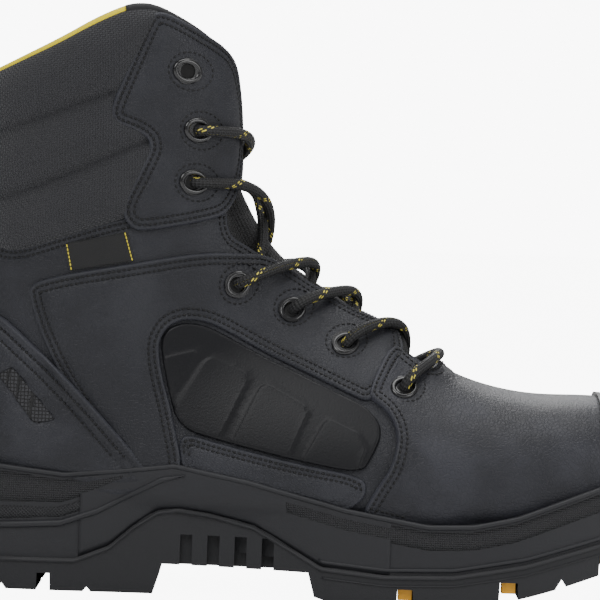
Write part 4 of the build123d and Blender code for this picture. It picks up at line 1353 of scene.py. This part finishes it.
make_back_leather()
make_heel_stay()
make_vamp()
make_collar()
make_rim()
make_tongue()
make_lace()
for side in (LATERAL, MEDIAL):
    make_eyelets(side)
make_sole_bands()
make_label(LATERAL)


# ---------------------------------------------------------------- finishes of the pieces that stay as they are
FINISHES = {
    "outsole": SOLE, "midsole": FOAM, "tread_inserts": AMBER, "shank": STEEL, "penetration_plate": STEEL,
    "insole_board": BOARD, "footbed": PADDING, "toe_cap": STEEL, "cap_edge_strip": PADDING, "heel_counter": BOARD,
    "ankle_padding_lateral": PADDING, "ankle_padding_medial": PADDING, "collar_foam": PADDING, "collar_cover": NYLON,
    "collar_lining": LINING, "foot_lining": LINING, "metatarsal_guard": MOULDED, "vamp": VAMP, "back_panel": LEATHER,
    "heel_guard": OVERLAY, "toe_bumper": SCUFF, "label": TAPE, "tongue": NYLON, "tongue_lining": LINING,
    "eyelets_lateral": RING, "eyelets_medial": RING, "lace": THREAD, "aglets": RING,
}
for node, material in FINISHES.items():
    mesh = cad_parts[node].data
    mesh.materials.clear()
    mesh.materials.append(material)


# ---------------------------------------------------------------- camera, lights and floor
BACKDROP = 9.0  # brightness of the backdrop as it is seen


def make_camera():
    camera = bpy.data.objects.new("camera", bpy.data.cameras.new("camera"))
    bpy.context.scene.collection.objects.link(camera)
    aim, distance, rise, roll = Vector((-0.0147, 0.0, 0.1124)), 1.6, radians(2.0), radians(2.05)
    camera.location = aim + Vector((0, -cos(rise), sin(rise))) * distance
    turn = (aim - camera.location).to_track_quat("-Z", "Y").to_matrix() @ Matrix.Rotation(roll, 3, "Z")
    camera.rotation_euler = turn.to_euler()
    camera.data.sensor_width, camera.data.lens = 36.0, 246.7
    camera.data.clip_end = 20
    bpy.context.scene.camera = camera


def make_light(name, place, aim, size, power, colour=(1, 1, 1)):
    light = bpy.data.objects.new(name, bpy.data.lights.new(name, "AREA"))
    bpy.context.scene.collection.objects.link(light)
    light.data.shape, light.data.size, light.data.size_y = "RECTANGLE", *size
    light.data.energy, light.data.color = power, colour
    light.location = place
    light.rotation_euler = (Vector(aim) - Vector(place)).to_track_quat("-Z", "Y").to_euler()


def floor_finish():
    """White, and bright enough where it is seen to run into the backdrop."""
    net = Net("pale_floor")
    pale = net.node("BsdfPrincipled", Base_Color=(0.9, 0.9, 0.9), Roughness=0.8)
    bright = net.node("Emission", Strength=BACKDROP * 1.33)
    seen = net.node("LightPath", None, "Is Camera Ray") * 0.72
    shader = net.node("MixShader", i0=seen, i1=pale, i2=bright)
    out = net.tree.nodes.new("ShaderNodeOutputMaterial")
    net.tree.links.new(shader.socket, out.inputs["Surface"])
    return net.material


def make_stage():
    mesh = bpy.data.meshes.new("floor")
    work = bmesh.new()
    bmesh.ops.create_grid(work, x_segments=4, y_segments=4, size=6.0)
    work.to_mesh(mesh)
    work.free()
    floor = bpy.data.objects.new("floor", mesh)
    bpy.context.scene.collection.objects.link(floor)
    mesh.materials.append(floor_finish())
    world = bpy.data.worlds.new("studio")
    bpy.context.scene.world = world
    world.use_nodes = True
    nodes, links = world.node_tree.nodes, world.node_tree.links
    background = nodes["Background"]
    background.inputs["Color"].default_value = (1, 1, 1, 1)
    path, strength = nodes.new("ShaderNodeLightPath"), nodes.new("ShaderNodeMapRange")
    strength.inputs["To Min"].default_value, strength.inputs["To Max"].default_value = 0.30, BACKDROP
    links.new(path.outputs["Is Camera Ray"], strength.inputs["Value"])
    links.new(strength.outputs[0], background.inputs["Strength"])
    make_light("key_light", (-0.5, -1.2, 1.3), (0, 0, 0.1), (0.9, 0.9), 13)
    make_light("top_light", (0.2, 0.1, 1.7), (0, 0, 0.05), (1.2, 1.2), 17)
    make_light("fill_light", (1.3, -0.9, 0.7), (0, 0, 0.1), (0.7, 0.9), 7)
    make_light("back_light", (-0.2, 1.4, 0.9), (0, 0, 0.1), (1.2, 0.7), 12)


make_camera()
make_stage()
